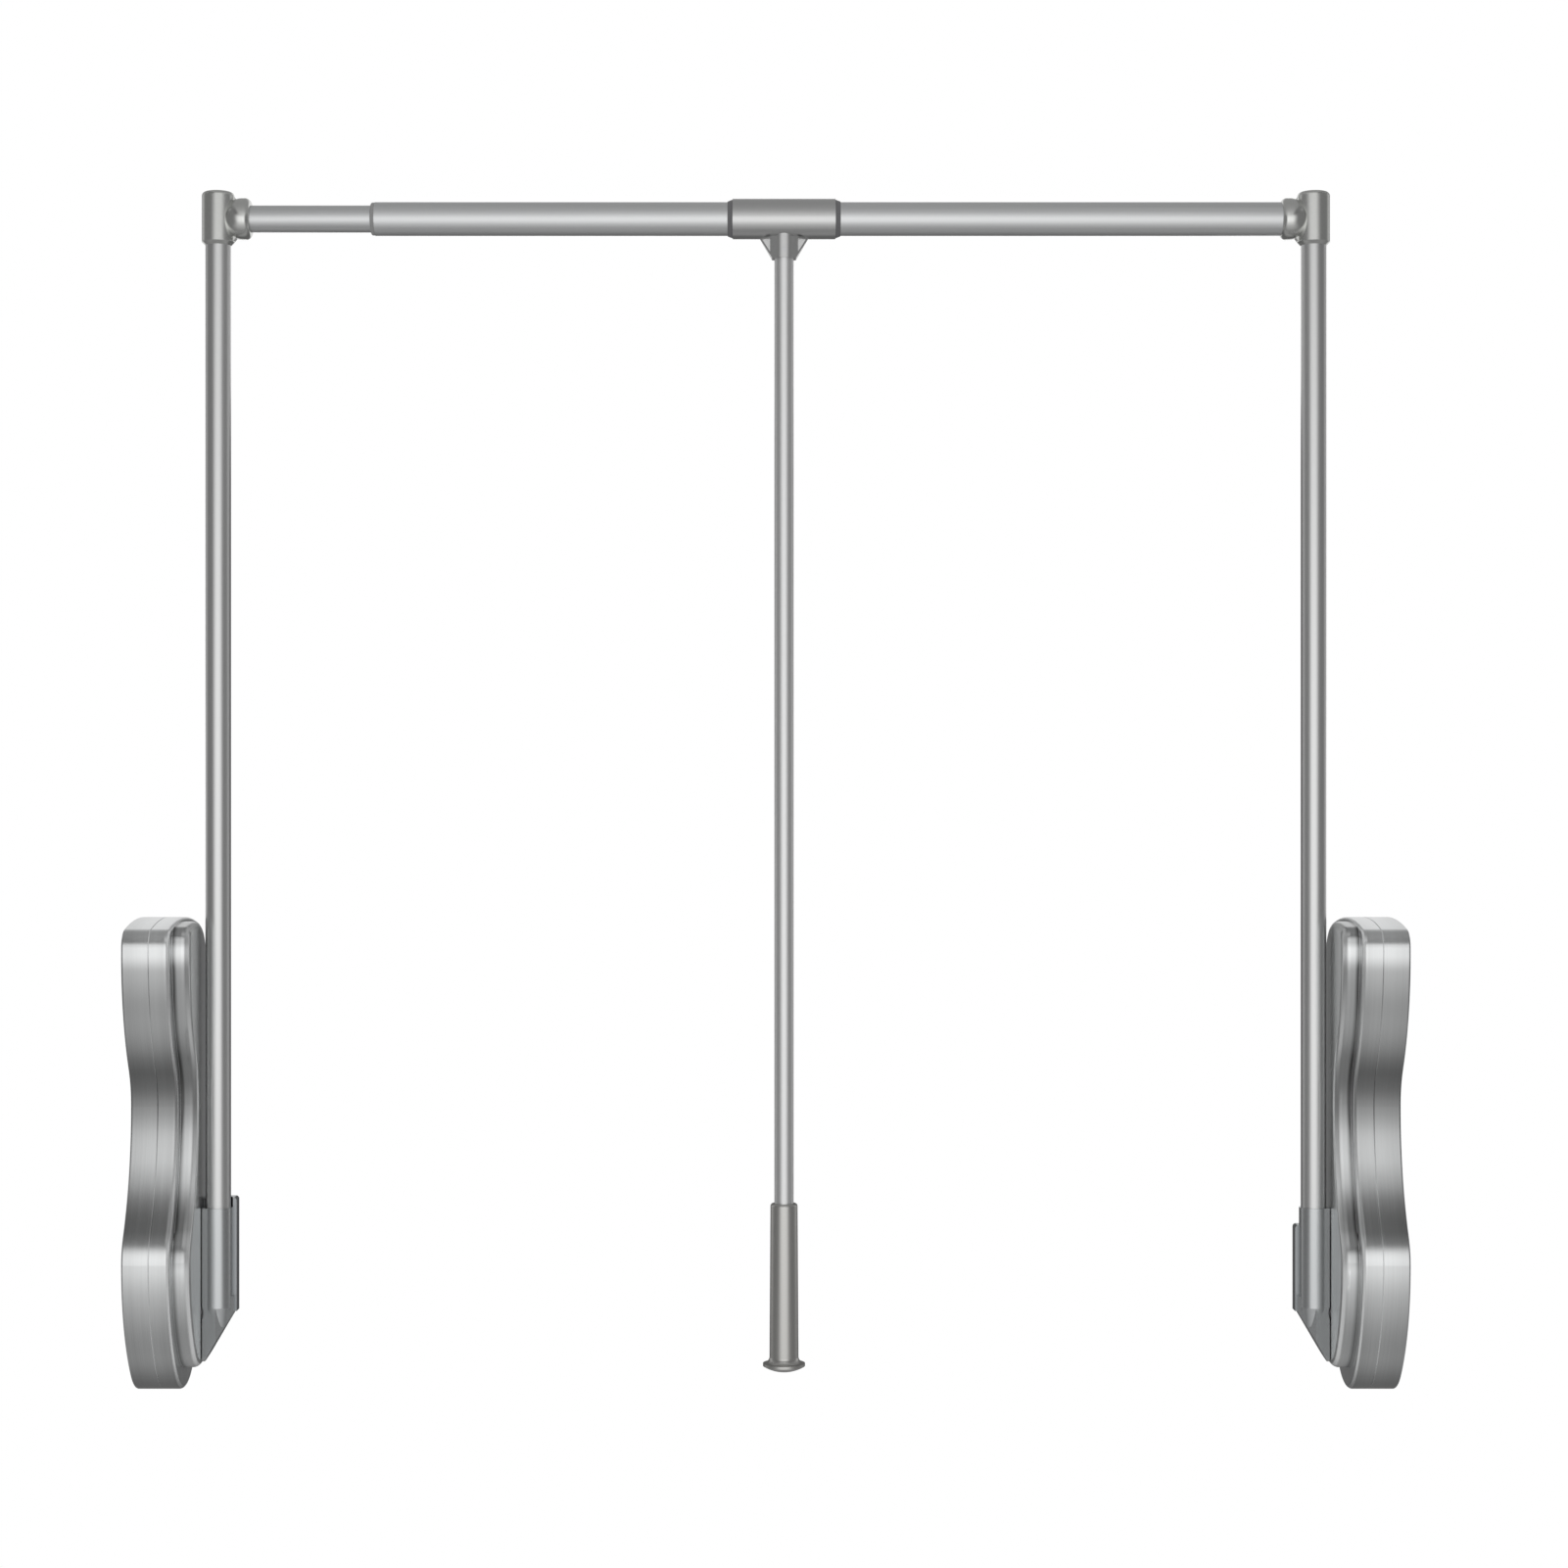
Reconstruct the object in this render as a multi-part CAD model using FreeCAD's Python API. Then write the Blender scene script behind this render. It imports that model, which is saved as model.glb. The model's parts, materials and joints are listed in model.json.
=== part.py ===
import FreeCAD, Part
import math
import os
from FreeCAD import Vector

# Pull down closet rod: two sprung housings on the side walls of a wardrobe, two arms that
# swing forward on their pivots, a telescopic hanging rod between the arms and a long pull
# handle that hangs from a sleeve on the rod.
#
# Millimetres. X runs from the left wall to the right one, Y away from the person who pulls,
# Z up. The origin is on the left wall face, level with the pivots. The left half is modelled
# and the right half is its mirror image.

# Overall
overall_width = 940.0
arm_reach = 820.0
pull_down_angle = 110.0

# Fits between pieces
press_gap = 0.02
running_gap = 0.05
free_gap = 0.3
same_place = 1e-6

# Housing outline in the YZ plane, the same in front and behind: base arc, belly, its shoulder,
# lower and upper waist, upper lobe, rounded corner and crown, each tangent to the next
base_z = -57.0
belly_z = 45.0
belly_half = 65.0
belly_radius = 132.0
shoulder_radius = 36.0
waist_z = 157.0
waist_half = 31.0
lobe_half = 65.0
lobe_radius = 160.0
lobe_drop = 24.0
crown_z = 296.0
crown_radius = 240.0
crown_corner = 14.0

# Housing shells
wall_shell_width = 20.0
room_shell_width = 15.0
shell_floor = 3.0
shell_wall = 2.5
shell_edge_round = 3.5
wall_edge_round = 1.5
seam_chamfer = 0.4
fixing_inset = 21.0
mount_hole_radius = 2.75
mount_hole_low_z = 30.0
mount_hole_drop = 34.0
shell_screw_radius = 2.0
shell_screw_head_radius = 4.1
shell_screw_head_height = 3.0
shell_screw_sink = 2.0
shell_screw_length = 18.5
shell_screw_low_z = 62.0
shell_screw_drop = 58.0
screw_boss_wall = 3.4

# Raised cover on the room side of the housing: it follows the front of the shell, is broad
# round the pivot and ends in a narrower arch at the top
cover_rise = 12.5
cover_wall = 2.5
cover_edge_round = 6.0
cover_front_inset = 12.0
cover_waist_inset = 10.0
cover_base_inset = 16.0
cover_top_inset = 2.5
cover_rear_half = 18.0
cover_arch_radius = 30.0
cover_corner = 10.0

# Pivot
shaft_radius = 6.0
shaft_end_gap = 0.3
shaft_flat = 4.6
shaft_in_hub = 14.0
bush_wall = 3.0
wall_bush_length = 6.0
room_bush_gap = 3.0
pivot_boss_wall = 3.0
clip_width = 1.0
clip_rise = 2.2
clip_depth = 1.0
clip_mouth = 6.0
clip_offset = 0.5

# Rack and pinion
gear_module = 2.0
pinion_teeth = 16
pressure_angle = 20.0
gear_backlash = 0.35
gear_width = 10.0
gear_dedendum = 1.3
rack_back = 6.0
rack_run_out = 6.0

# Lift spring, damper and what guides them
chassis_thickness = 2.5
chassis_side_gap = 8.0
chassis_low_z = -32.0
chassis_corner = 10.0
crosshead_clearance = 10.0
crosshead_height = 8.0
crosshead_side_gap = 2.75
crosshead_lip = 2.4
crosshead_end = 9.0
spring_side_gap = 1.25
spring_wall_gap = 3.0
spring_wire_radius = 1.5
spring_turns = 15
seat_drop = 46.0
seat_height = 12.0
seat_side_gap = 1.0
seat_lip = 2.0
guide_rod_radius = 5.0
guide_rod_in_seat = 4.0
damper_wall_gap = 6.5
damper_radius = 8.0
damper_wall = 1.5
damper_length = 132.0
damper_end = 4.0
damper_rod_radius = 3.0
damper_piston_height = 6.0
damper_piston_gap = 6.0
bump_stop_height = 11.0
bump_stop_depth = 8.0
bump_stop_length = 16.5

# Arm and its socket
arm_gap = 0.7
arm_tube_radius = 9.5
arm_tube_wall = 1.5
socket_wall = 1.3
socket_top_z = 78.5
socket_floor_z = 9.0
socket_foot_z = 4.0
socket_tip_height = 14.0
socket_tip_taper = 1.8
hub_half_depth = 9.0
flank_slant = 0.34
tongue_slant = 0.7
hub_low_z = -37.0
hub_top_z = 12.0
hub_slope = 1.706
hub_point = 1.4
plate_width = 2.6
plate_front_y = 2.0
plate_back_y = 13.5
plate_foot_z = 0.0
left_plate_top_z = 85.5
right_plate_top_z = 64.5
plate_corner = 2.5
socket_screw_radius = 1.8
socket_screw_head_radius = 3.4
socket_screw_head_height = 2.2
socket_screw_low_z = 22.0
socket_screw_high_z = 54.0
hub_pin_radius = 2.0
hub_pin_wall = 3.0

# Corner elbow
elbow_radius = 12.15
elbow_half_height = 20.0
elbow_round = 3.0
elbow_chamfer = 2.5
elbow_cap = 8.0
elbow_boss_radius = 15.5
elbow_boss_reach = 25.0
elbow_mouth_round = 4.5
elbow_web_thickness = 7.0
elbow_web_reach = 14.7
elbow_web_run = 5.0
elbow_web_fall = 6.0
elbow_web_inset = 0.5
elbow_bore_depth = 13.0
grub_radius = 2.0
grub_sink = 0.4
arm_grub_rise = 8.0

# Telescopic hanging rod
outer_rod_radius = 12.5
inner_rod_radius = 10.0
rod_wall = 1.5
outer_rod_start = 177.0
inner_rod_overlap = 280.0
glide_length = 20.0
glide_lip = 3.0
glide_lip_inset = 0.3
plug_head = 12.0
plug_spigot = 20.0

# Sleeve on the rod and the pull handle
sleeve_x = 483.6
sleeve_half = 38.5
sleeve_radius = 15.0
liner_wall = 1.0
liner_lip = 3.7
liner_lip_rise = 0.8
liner_lip_taper = 1.4
sleeve_boss_radius = 9.0
sleeve_boss_drop = 30.0
gusset_half = 19.0
gusset_root = 16.0
gusset_root_half = 4.0
gusset_tip = 1.0
gusset_pocket_floor = 1.0
gusset_pocket_rim = 1.4
gusset_pocket_gap = 0.5
handle_radius = 7.25
handle_wall = 1.2
handle_top_gap = 0.8
handle_pin_radius = 1.5
handle_pin_rise = 6.0
grip_top_z = 81.5
grip_length = 115.5
grip_top_radius = 10.2
grip_low_radius = 10.9
grip_shoulder = 2.2
grip_lip = 0.5
grip_tube_gap = 6.0
knob_radius = 15.8
knob_flare = 4.5
knob_flare_hollow = 1.2
knob_rim = 2.0
knob_dome = 4.5
knob_spigot = 14.0

# Places that follow from the sizes
seam_x = wall_shell_width
face_x = wall_shell_width + room_shell_width
room_floor_x = face_x - shell_floor
cover_x = face_x + cover_rise
hub_x = cover_x + arm_gap
socket_radius = arm_tube_radius + socket_wall
arm_x = hub_x + socket_radius
plate_x = arm_x + socket_radius + plate_width
hub_pin_x = hub_x + shaft_in_hub / 2
hub_pin_front_y = hub_pin_wall - hub_half_depth
rod_z = arm_reach
lobe_z = crown_z - lobe_drop
bush_radius = shaft_radius + bush_wall
pivot_boss_radius = bush_radius + pivot_boss_wall
wall_bush_x = shell_floor + wall_bush_length
clip_x = wall_bush_x + clip_offset
gear_x = clip_x + clip_width + clip_offset
room_bush_x = gear_x + gear_width + room_bush_gap
pitch_radius = gear_module * pinion_teeth / 2
rack_travel = pitch_radius * math.radians(pull_down_angle)
rack_foot_y = pitch_radius + gear_dedendum * gear_module
rack_back_y = rack_foot_y + rack_back
rack_top_z = pitch_radius + gear_module + crosshead_clearance
crosshead_top_z = rack_top_z + crosshead_height
chassis_x = shell_floor + chassis_thickness
chassis_half = waist_half - chassis_side_gap
mechanism_x = (chassis_x + room_floor_x) / 2
mechanism_half = (room_floor_x - chassis_x) / 2
spring_outer_radius = mechanism_half - spring_side_gap
spring_radius = spring_outer_radius - spring_wire_radius
spring_y = waist_half - shell_wall - spring_wall_gap - spring_outer_radius
damper_y = damper_radius + damper_wall_gap + shell_wall - waist_half
crosshead_front_y = damper_y - crosshead_end
crosshead_rear_y = rack_back_y + crosshead_lip
seat_z = crown_z - seat_drop
fixing_y = min(belly_half, lobe_half) - fixing_inset
shell_screw_head_x = face_x - shell_screw_sink - shell_screw_head_height
shell_screw_tip_x = shell_screw_head_x - shell_screw_length
screw_boss_radius = shell_screw_radius + screw_boss_wall
elbow_end_x = arm_x + elbow_boss_reach
elbow_ball_x = elbow_end_x - elbow_bore_depth / 2
elbow_low_z = rod_z - elbow_half_height
elbow_top_z = rod_z + elbow_half_height
rod_start_x = elbow_end_x - elbow_bore_depth
socket_screw_heights = [socket_screw_low_z, socket_screw_high_z]
liner_radius = outer_rod_radius + running_gap + liner_wall
sleeve_bore = liner_radius + running_gap
sleeve_boss_z = rod_z - sleeve_boss_drop
handle_top_z = rod_z - sleeve_bore - handle_top_gap
grip_low_z = grip_top_z - grip_length


def four_corners(low_z, high_z):
    """Places of four fixings, two above two, in front of and behind the pivot."""
    return [(y, z) for z in (low_z, high_z) for y in (-fixing_y, fixing_y)]


shell_screws_at = four_corners(shell_screw_low_z, crown_z - shell_screw_drop)
mount_holes_at = four_corners(mount_hole_low_z, crown_z - mount_hole_drop)


def at_angle(center, radius, angle):
    return Vector(0, center.y + radius * math.cos(angle), center.z + radius * math.sin(angle))


def arc_about(center, start, end):
    """The shorter arc from start to end about a center."""
    radius = (start - center).Length
    middle = center + ((start - center) + (end - center)).normalize() * radius
    return Part.Arc(start, middle, end).toShape()


def line(start, end):
    return Part.LineSegment(start, end).toShape()


def circles_meet(first, first_radius, second, second_radius):
    """The crossing of two circles in the YZ plane that lies towards -Y."""
    across = second - first
    distance = across.Length
    along = (distance ** 2 + first_radius ** 2 - second_radius ** 2) / (2 * distance)
    off = math.sqrt(first_radius ** 2 - along ** 2)
    foot = first + across * (along / distance)
    side = Vector(0, -across.z, across.y) * (off / distance)
    return min((foot + side, foot - side), key=lambda point: point.y)


def reach_between(across, climb):
    """The sum of the radii of two arcs that bend from upright to upright, first one way, then the other."""
    return (across ** 2 + climb ** 2) / (2 * across)


class GourdSide:
    """The -Y side of a gourd-shaped outline as arcs that touch each other, drawn in by an inset."""

    def __init__(self, inset, waist, low_z, top_z, corner, crown_y):
        half = belly_half - inset
        bulge = lobe_half - inset
        self.belly_radius = belly_radius - inset
        self.shoulder_radius = shoulder_radius - inset
        self.lobe_radius = lobe_radius - inset
        self.corner_radius = corner
        rise = belly_z - low_z
        off = self.belly_radius - half
        spare = 2 * (self.belly_radius - rise)
        self.base_radius = (self.belly_radius ** 2 - off ** 2 - rise ** 2) / spare
        self.low_waist_radius = reach_between(half - waist, waist_z - belly_z) - self.shoulder_radius
        self.high_waist_radius = reach_between(bulge - waist, lobe_z - waist_z) - self.lobe_radius
        self.low_z = low_z
        self.half = half
        self.waist_y = -waist
        self.base = Vector(0, 0, low_z + self.base_radius)
        self.belly = Vector(0, off, belly_z)
        self.shoulder = Vector(0, self.shoulder_radius - half, belly_z)
        self.low_waist = Vector(0, -waist - self.low_waist_radius, waist_z)
        self.high_waist = Vector(0, -waist - self.high_waist_radius, waist_z)
        self.lobe = Vector(0, self.lobe_radius - bulge, lobe_z)
        self.crown = Vector(0, crown_y, top_z - crown_radius)
        self.corner = circles_meet(self.lobe, self.lobe_radius - corner, self.crown, crown_radius - corner)

    def lower_edges(self, inset):
        """Arcs from the lowest point to the waist, moved inwards by the inset."""
        low = Vector(0, 0, self.low_z + inset)
        base_to_belly = self.base + (self.base - self.belly).normalize() * (self.base_radius - inset)
        front = Vector(0, inset - self.half, belly_z)
        outward = (self.low_waist - self.shoulder).normalize()
        shoulder_to_waist = self.shoulder + outward * (self.shoulder_radius - inset)
        return [
            arc_about(self.base, low, base_to_belly),
            arc_about(self.belly, base_to_belly, front),
            arc_about(self.shoulder, front, shoulder_to_waist),
            arc_about(self.low_waist, shoulder_to_waist, self.waist_point(inset)),
        ]

    def waist_point(self, inset):
        return Vector(0, self.waist_y + inset, waist_z)

    def edges(self, inset):
        """Arcs from the lowest point to the crown's top, moved inwards by the inset."""
        round_off = self.corner_radius - inset
        outward = (self.high_waist - self.lobe).normalize()
        waist_to_lobe = self.lobe + outward * (self.lobe_radius - inset)
        lobe_to_corner = self.corner + (self.corner - self.lobe).normalize() * round_off
        corner_to_crown = self.corner + (self.corner - self.crown).normalize() * round_off
        top = self.crown + Vector(0, 0, crown_radius - inset)
        return self.lower_edges(inset) + [
            arc_about(self.high_waist, self.waist_point(inset), waist_to_lobe),
            arc_about(self.lobe, waist_to_lobe, lobe_to_corner),
            arc_about(self.corner, lobe_to_corner, corner_to_crown),
            arc_about(self.crown, corner_to_crown, top),
        ]


shell_side = GourdSide(0.0, waist_half, base_z, crown_z, crown_corner, 0.0)
cover_low_z = base_z + cover_base_inset
cover_top_z = crown_z - cover_top_inset
cover_side = GourdSide(
    cover_front_inset,
    waist_half - cover_waist_inset,
    cover_low_z,
    cover_top_z,
    cover_corner,
    cover_rear_half - cover_arch_radius,
)
cover_rear = GourdSide(cover_front_inset, cover_rear_half, cover_low_z, cover_top_z, cover_corner, 0.0)


def behind(edges):
    """The same edges on the +Y side."""
    return [edge.mirror(Vector(0, 0, 0), Vector(0, 1, 0)) for edge in edges]


def prism(edges, start_x, end_x):
    wire = Part.Wire(Part.__sortEdges__(edges))
    face = Part.Face(wire)
    face.translate(Vector(start_x, 0, 0))
    return face.extrude(Vector(end_x - start_x, 0, 0))


def shell_block(inset, start_x, end_x):
    front = shell_side.edges(inset)
    return prism(front + behind(front), start_x, end_x)


def cover_block(inset, start_x, end_x):
    """Front of the shell, belly and waist behind, and a straight back up to the arch."""
    arch_center = Vector(0, cover_rear_half - cover_arch_radius, cover_top_z - cover_arch_radius)
    arch_start = Vector(0, cover_rear_half - inset, arch_center.z)
    arch_top = arch_center + Vector(0, 0, cover_arch_radius - inset)
    waist_back = Vector(0, cover_rear_half - inset, waist_z)
    rear = behind(cover_rear.lower_edges(inset))
    rear += [line(waist_back, arch_start), arc_about(arch_center, arch_start, arch_top)]
    return prism(cover_side.edges(inset) + rear, start_x, end_x)


def edges_at_x(shape, x):
    """The edges that lie in the plane at x."""
    found = []
    for edge in shape.Edges:
        extent = edge.BoundBox
        if max(abs(extent.XMin - x), abs(extent.XMax - x)) < same_place:
            found.append(edge)
    return found


def bar_x(radius, start_x, end_x, y=0.0, z=0.0):
    return Part.makeCylinder(radius, end_x - start_x, Vector(start_x, y, z), Vector(1, 0, 0))


def bar_y(radius, start_y, end_y, x, z):
    return Part.makeCylinder(radius, end_y - start_y, Vector(x, start_y, z), Vector(0, 1, 0))


def bar_z(radius, start_z, end_z, x, y=0.0):
    return Part.makeCylinder(radius, end_z - start_z, Vector(x, y, start_z), Vector(0, 0, 1))


def tube_x(radius, bore, start_x, end_x, z=0.0):
    return bar_x(radius, start_x, end_x, 0.0, z).cut(bar_x(bore, start_x, end_x, 0.0, z))


def tube_z(radius, bore, start_z, end_z, x, y=0.0):
    return bar_z(radius, start_z, end_z, x, y).cut(bar_z(bore, start_z, end_z, x, y))


def box(low, high):
    size = Vector(*high) - Vector(*low)
    return Part.makeBox(size.x, size.y, size.z, Vector(*low))


def joined(shapes):
    whole = shapes[0].multiFuse(shapes[1:])
    return whole.removeSplitter()


def turned_z(points, x):
    """A solid turned about a vertical axis from (radius, z) points."""
    corners = [Vector(x + radius, 0, z) for radius, z in points]
    face = Part.Face(Part.makePolygon(corners + corners[:1]))
    return face.revolve(Vector(x, 0, 0), Vector(0, 0, 1), 360)


def wall_shell():
    block = shell_block(0.0, 0.0, seam_x)
    block = block.makeChamfer(seam_chamfer, edges_at_x(block, seam_x))
    block = block.makeFillet(wall_edge_round, edges_at_x(block, 0.0))
    tub = block.cut(shell_block(shell_wall, shell_floor, seam_x))
    bosses = [bar_x(screw_boss_radius, shell_floor, seam_x, y, z) for y, z in shell_screws_at]
    bosses.append(bar_x(pivot_boss_radius, shell_floor, wall_bush_x))
    tub = joined([tub] + bosses)
    pilot_radius = shell_screw_radius + press_gap
    holes = [bar_x(pilot_radius, shell_screw_tip_x, seam_x, y, z) for y, z in shell_screws_at]
    holes += [bar_x(mount_hole_radius, 0.0, shell_floor, y, z) for y, z in mount_holes_at]
    holes.append(bar_x(bush_radius + press_gap, shell_floor, wall_bush_x))
    return tub.cut(holes)


def room_shell():
    block = shell_block(0.0, seam_x, face_x)
    block = block.makeChamfer(seam_chamfer, edges_at_x(block, seam_x))
    block = block.makeFillet(shell_edge_round, edges_at_x(block, face_x))
    tub = block.cut(shell_block(shell_wall, seam_x, room_floor_x))
    bosses = [bar_x(screw_boss_radius, seam_x, room_floor_x, y, z) for y, z in shell_screws_at]
    bosses.append(bar_x(pivot_boss_radius, room_bush_x, room_floor_x))
    tub = joined([tub] + bosses)
    holes = [bar_x(bush_radius + press_gap, room_bush_x, face_x)]
    for y, z in shell_screws_at:
        holes.append(bar_x(shell_screw_radius + running_gap, seam_x, face_x, y, z))
        holes.append(bar_x(shell_screw_head_radius + running_gap, shell_screw_head_x, face_x, y, z))
    return tub.cut(holes)


def shell_screws():
    head_end_x = shell_screw_head_x + shell_screw_head_height
    screws = []
    for y, z in shell_screws_at:
        shank = bar_x(shell_screw_radius, shell_screw_tip_x + press_gap, shell_screw_head_x, y, z)
        head = bar_x(shell_screw_head_radius, shell_screw_head_x, head_end_x, y, z)
        screws.append(joined([shank, head]))
    return Part.makeCompound(screws)


def raised_cover():
    block = cover_block(0.0, face_x, cover_x)
    block = block.makeFillet(cover_edge_round, edges_at_x(block, cover_x))
    cap = block.cut(cover_block(cover_wall, face_x, cover_x - cover_wall))
    return cap.cut(bar_x(bush_radius, face_x, cover_x))


def chassis_plate():
    top_z = seat_z + seat_height
    plate = box((shell_floor, -chassis_half, chassis_low_z), (chassis_x, chassis_half, top_z))
    corners = [edge for edge in plate.Edges if edge.BoundBox.XLength > chassis_thickness / 2]
    plate = plate.makeFillet(chassis_corner, corners)
    return plate.cut(bar_x(pivot_boss_radius + free_gap, shell_floor, chassis_x))


def pivot_shaft():
    shaft = bar_x(shaft_radius, shell_floor + shaft_end_gap, hub_x + shaft_in_hub)
    groove_radius = shaft_radius - clip_depth
    groove_end_x = clip_x + clip_width + running_gap
    groove = tube_x(2 * shaft_radius, groove_radius, clip_x - running_gap, groove_end_x)
    flat = box((gear_x, shaft_flat, -shaft_radius), (gear_x + gear_width, 2 * shaft_radius, shaft_radius))
    pin = bar_y(hub_pin_radius + press_gap, -shaft_radius, shaft_radius, hub_pin_x, 0.0)
    return shaft.cut([groove, flat, pin])


def pivot_bushes():
    outer = bush_radius
    inner = shaft_radius + running_gap
    wall_bush = tube_x(outer, inner, shell_floor, wall_bush_x)
    room_bush = tube_x(outer, inner, room_bush_x, face_x)
    return Part.makeCompound([wall_bush, room_bush])


def shaft_clip():
    bore = shaft_radius - clip_depth + press_gap
    ring = tube_x(shaft_radius + clip_rise, bore, clip_x, clip_x + clip_width)
    mouth = box((clip_x, 0.0, -clip_mouth / 2), (clip_x + clip_width, 2 * shaft_radius, clip_mouth / 2))
    return ring.cut(mouth)


def involute_point(base, radius, side, center_angle, half_angle):
    """A flank point of a tooth at a radius, on the side -1 or 1 of its middle."""
    reach = max(radius, base)
    opening = math.acos(base / reach)
    swing = math.tan(opening) - opening
    return at_angle(Vector(0, 0, 0), radius, center_angle + side * (half_angle - swing))


def pinion():
    base = pitch_radius * math.cos(math.radians(pressure_angle))
    tip = pitch_radius + gear_module
    root = pitch_radius - gear_dedendum * gear_module
    turn = math.radians(pressure_angle)
    thickness = math.pi * gear_module / 2 - gear_backlash
    half_angle = thickness / (2 * pitch_radius) + math.tan(turn) - turn
    flank = [root, base, (base + pitch_radius) / 2, pitch_radius, (pitch_radius + tip) / 2, tip]
    corners = []
    for tooth in range(pinion_teeth):
        middle = 2 * math.pi * (tooth + 0.5) / pinion_teeth
        corners += [involute_point(base, radius, -1, middle, half_angle) for radius in flank]
        corners += [involute_point(base, radius, 1, middle, half_angle) for radius in reversed(flank)]
    face = Part.Face(Part.makePolygon(corners + corners[:1]))
    face.translate(Vector(gear_x, 0, 0))
    wheel = face.extrude(Vector(gear_width, 0, 0))
    bore = bar_x(shaft_radius + press_gap, gear_x, gear_x + gear_width)
    beyond_flat = box(
        (gear_x, shaft_flat + press_gap, -shaft_radius),
        (gear_x + gear_width, 2 * shaft_radius, shaft_radius),
    )
    return wheel.cut(bore.cut(beyond_flat))


def gear_rack():
    """Teeth towards -Y that mesh with the pinion while the rack runs its whole travel."""
    pitch = math.pi * gear_module
    slope = math.tan(math.radians(pressure_angle))
    half = (pitch / 2 - gear_backlash) / 2
    tip_half = half - gear_module * slope
    tip_y = pitch_radius - gear_module
    foot_half = half + (rack_foot_y - pitch_radius) * slope
    low_tooth = -math.ceil((rack_travel + rack_run_out) / pitch)
    high_tooth = math.ceil(rack_run_out / pitch)
    low_z = (low_tooth - 0.5) * pitch
    outline = [Vector(gear_x, rack_back_y, rack_top_z), Vector(gear_x, rack_back_y, low_z)]
    outline.append(Vector(gear_x, rack_foot_y, low_z))
    for tooth in range(low_tooth, high_tooth + 1):
        middle = tooth * pitch
        outline.append(Vector(gear_x, rack_foot_y, middle - foot_half))
        outline.append(Vector(gear_x, tip_y, middle - tip_half))
        outline.append(Vector(gear_x, tip_y, middle + tip_half))
        outline.append(Vector(gear_x, rack_foot_y, middle + foot_half))
    outline.append(Vector(gear_x, rack_foot_y, rack_top_z))
    face = Part.Face(Part.makePolygon(outline + outline[:1]))
    return face.extrude(Vector(gear_width, 0, 0))


def crosshead():
    half_x = mechanism_half - crosshead_side_gap
    bar = box(
        (mechanism_x - half_x, crosshead_front_y, rack_top_z),
        (mechanism_x + half_x, crosshead_rear_y, crosshead_top_z),
    )
    guide = bar_z(guide_rod_radius + press_gap, rack_top_z, crosshead_top_z, mechanism_x, spring_y)
    rod = bar_z(damper_rod_radius + press_gap, rack_top_z, crosshead_top_z, mechanism_x, damper_y)
    return bar.cut([guide, rod])


def bend(start, corner, end):
    """An arc from start to end whose tangents meet at the corner."""
    middle = (start + end) * 0.5
    rise = corner - middle
    half_chord = (end - start).Length / 2
    sag = half_chord * math.tan(math.atan2(rise.Length, half_chord) / 2)
    return Part.Arc(start, middle + rise.normalize() * sag, end).toShape()


def lift_spring():
    """A round wire wound as an even helix, each half turn two tangent arcs."""
    low = crosshead_top_z + spring_wire_radius
    high = seat_z - spring_wire_radius
    climb = (high - low) / (2 * spring_turns)
    points = []
    tangents = []
    for half_turn in range(2 * spring_turns + 1):
        side = 1 if half_turn % 2 == 0 else -1
        points.append(Vector(mechanism_x + side * spring_radius, spring_y, low + climb * half_turn))
        tangents.append(Vector(0, side * math.pi * spring_radius, climb).normalize())
    path = []
    for start, leave, end, arrive in zip(points, tangents, points[1:], tangents[1:]):
        span = end - start
        square = 2 * (leave.dot(arrive) - 1)
        linear = -2 * span.dot(leave + arrive)
        reach = (-linear - math.sqrt(linear ** 2 - 4 * square * span.dot(span))) / (2 * square)
        first = start + leave * reach
        second = end - arrive * reach
        joint = (first + second) * 0.5
        path += [bend(start, first, joint), bend(joint, second, end)]
    section = Part.Wire(Part.makeCircle(spring_wire_radius, points[0], tangents[0]))
    wire = Part.Wire(path).makePipeShell([section], True, False)
    print("spring: least gap to itself", round(self_gap(path), 2), "mm")
    return wire


def self_gap(path):
    """Least distance between the wire's turns, measured on points along its middle line."""
    steps = 6
    track = []
    for edge in path:
        track += edge.discretize(steps)[:-1]
    turn = 4 * (steps - 1)
    apart = turn // 2
    gaps = []
    for index, point in enumerate(track):
        later = track[index + apart:index + apart + turn]
        gaps += [(point - other).Length for other in later]
    return min(gaps) - 2 * spring_wire_radius


def spring_seat():
    front_y = damper_y - damper_radius - seat_lip
    rear_y = spring_y + spring_outer_radius + seat_lip
    top_z = seat_z + seat_height
    block = box((chassis_x, front_y, seat_z), (room_floor_x - seat_side_gap, rear_y, top_z))
    return block.cut(bar_z(guide_rod_radius + running_gap, seat_z, top_z, mechanism_x, spring_y))


def spring_guide_rod():
    """A rod that rises with the crosshead, through the spring and into the seat above it."""
    return bar_z(guide_rod_radius, rack_top_z, seat_z + guide_rod_in_seat, mechanism_x, spring_y)


def damper_cylinder():
    low_z = seat_z - damper_length
    body = bar_z(damper_radius, low_z, seat_z, mechanism_x, damper_y)
    bore_radius = damper_radius - damper_wall
    bore = bar_z(bore_radius, low_z + damper_end, seat_z - damper_end, mechanism_x, damper_y)
    neck = bar_z(damper_rod_radius + running_gap, low_z, low_z + damper_end, mechanism_x, damper_y)
    return body.cut([bore, neck])


def damper_rod():
    piston_z = seat_z - damper_length + damper_end + damper_piston_gap
    top_z = piston_z + damper_piston_height
    rod = bar_z(damper_rod_radius, rack_top_z, top_z, mechanism_x, damper_y)
    piston = bar_z(damper_radius - damper_wall - running_gap, piston_z, top_z, mechanism_x, damper_y)
    return joined([rod, piston])


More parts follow.
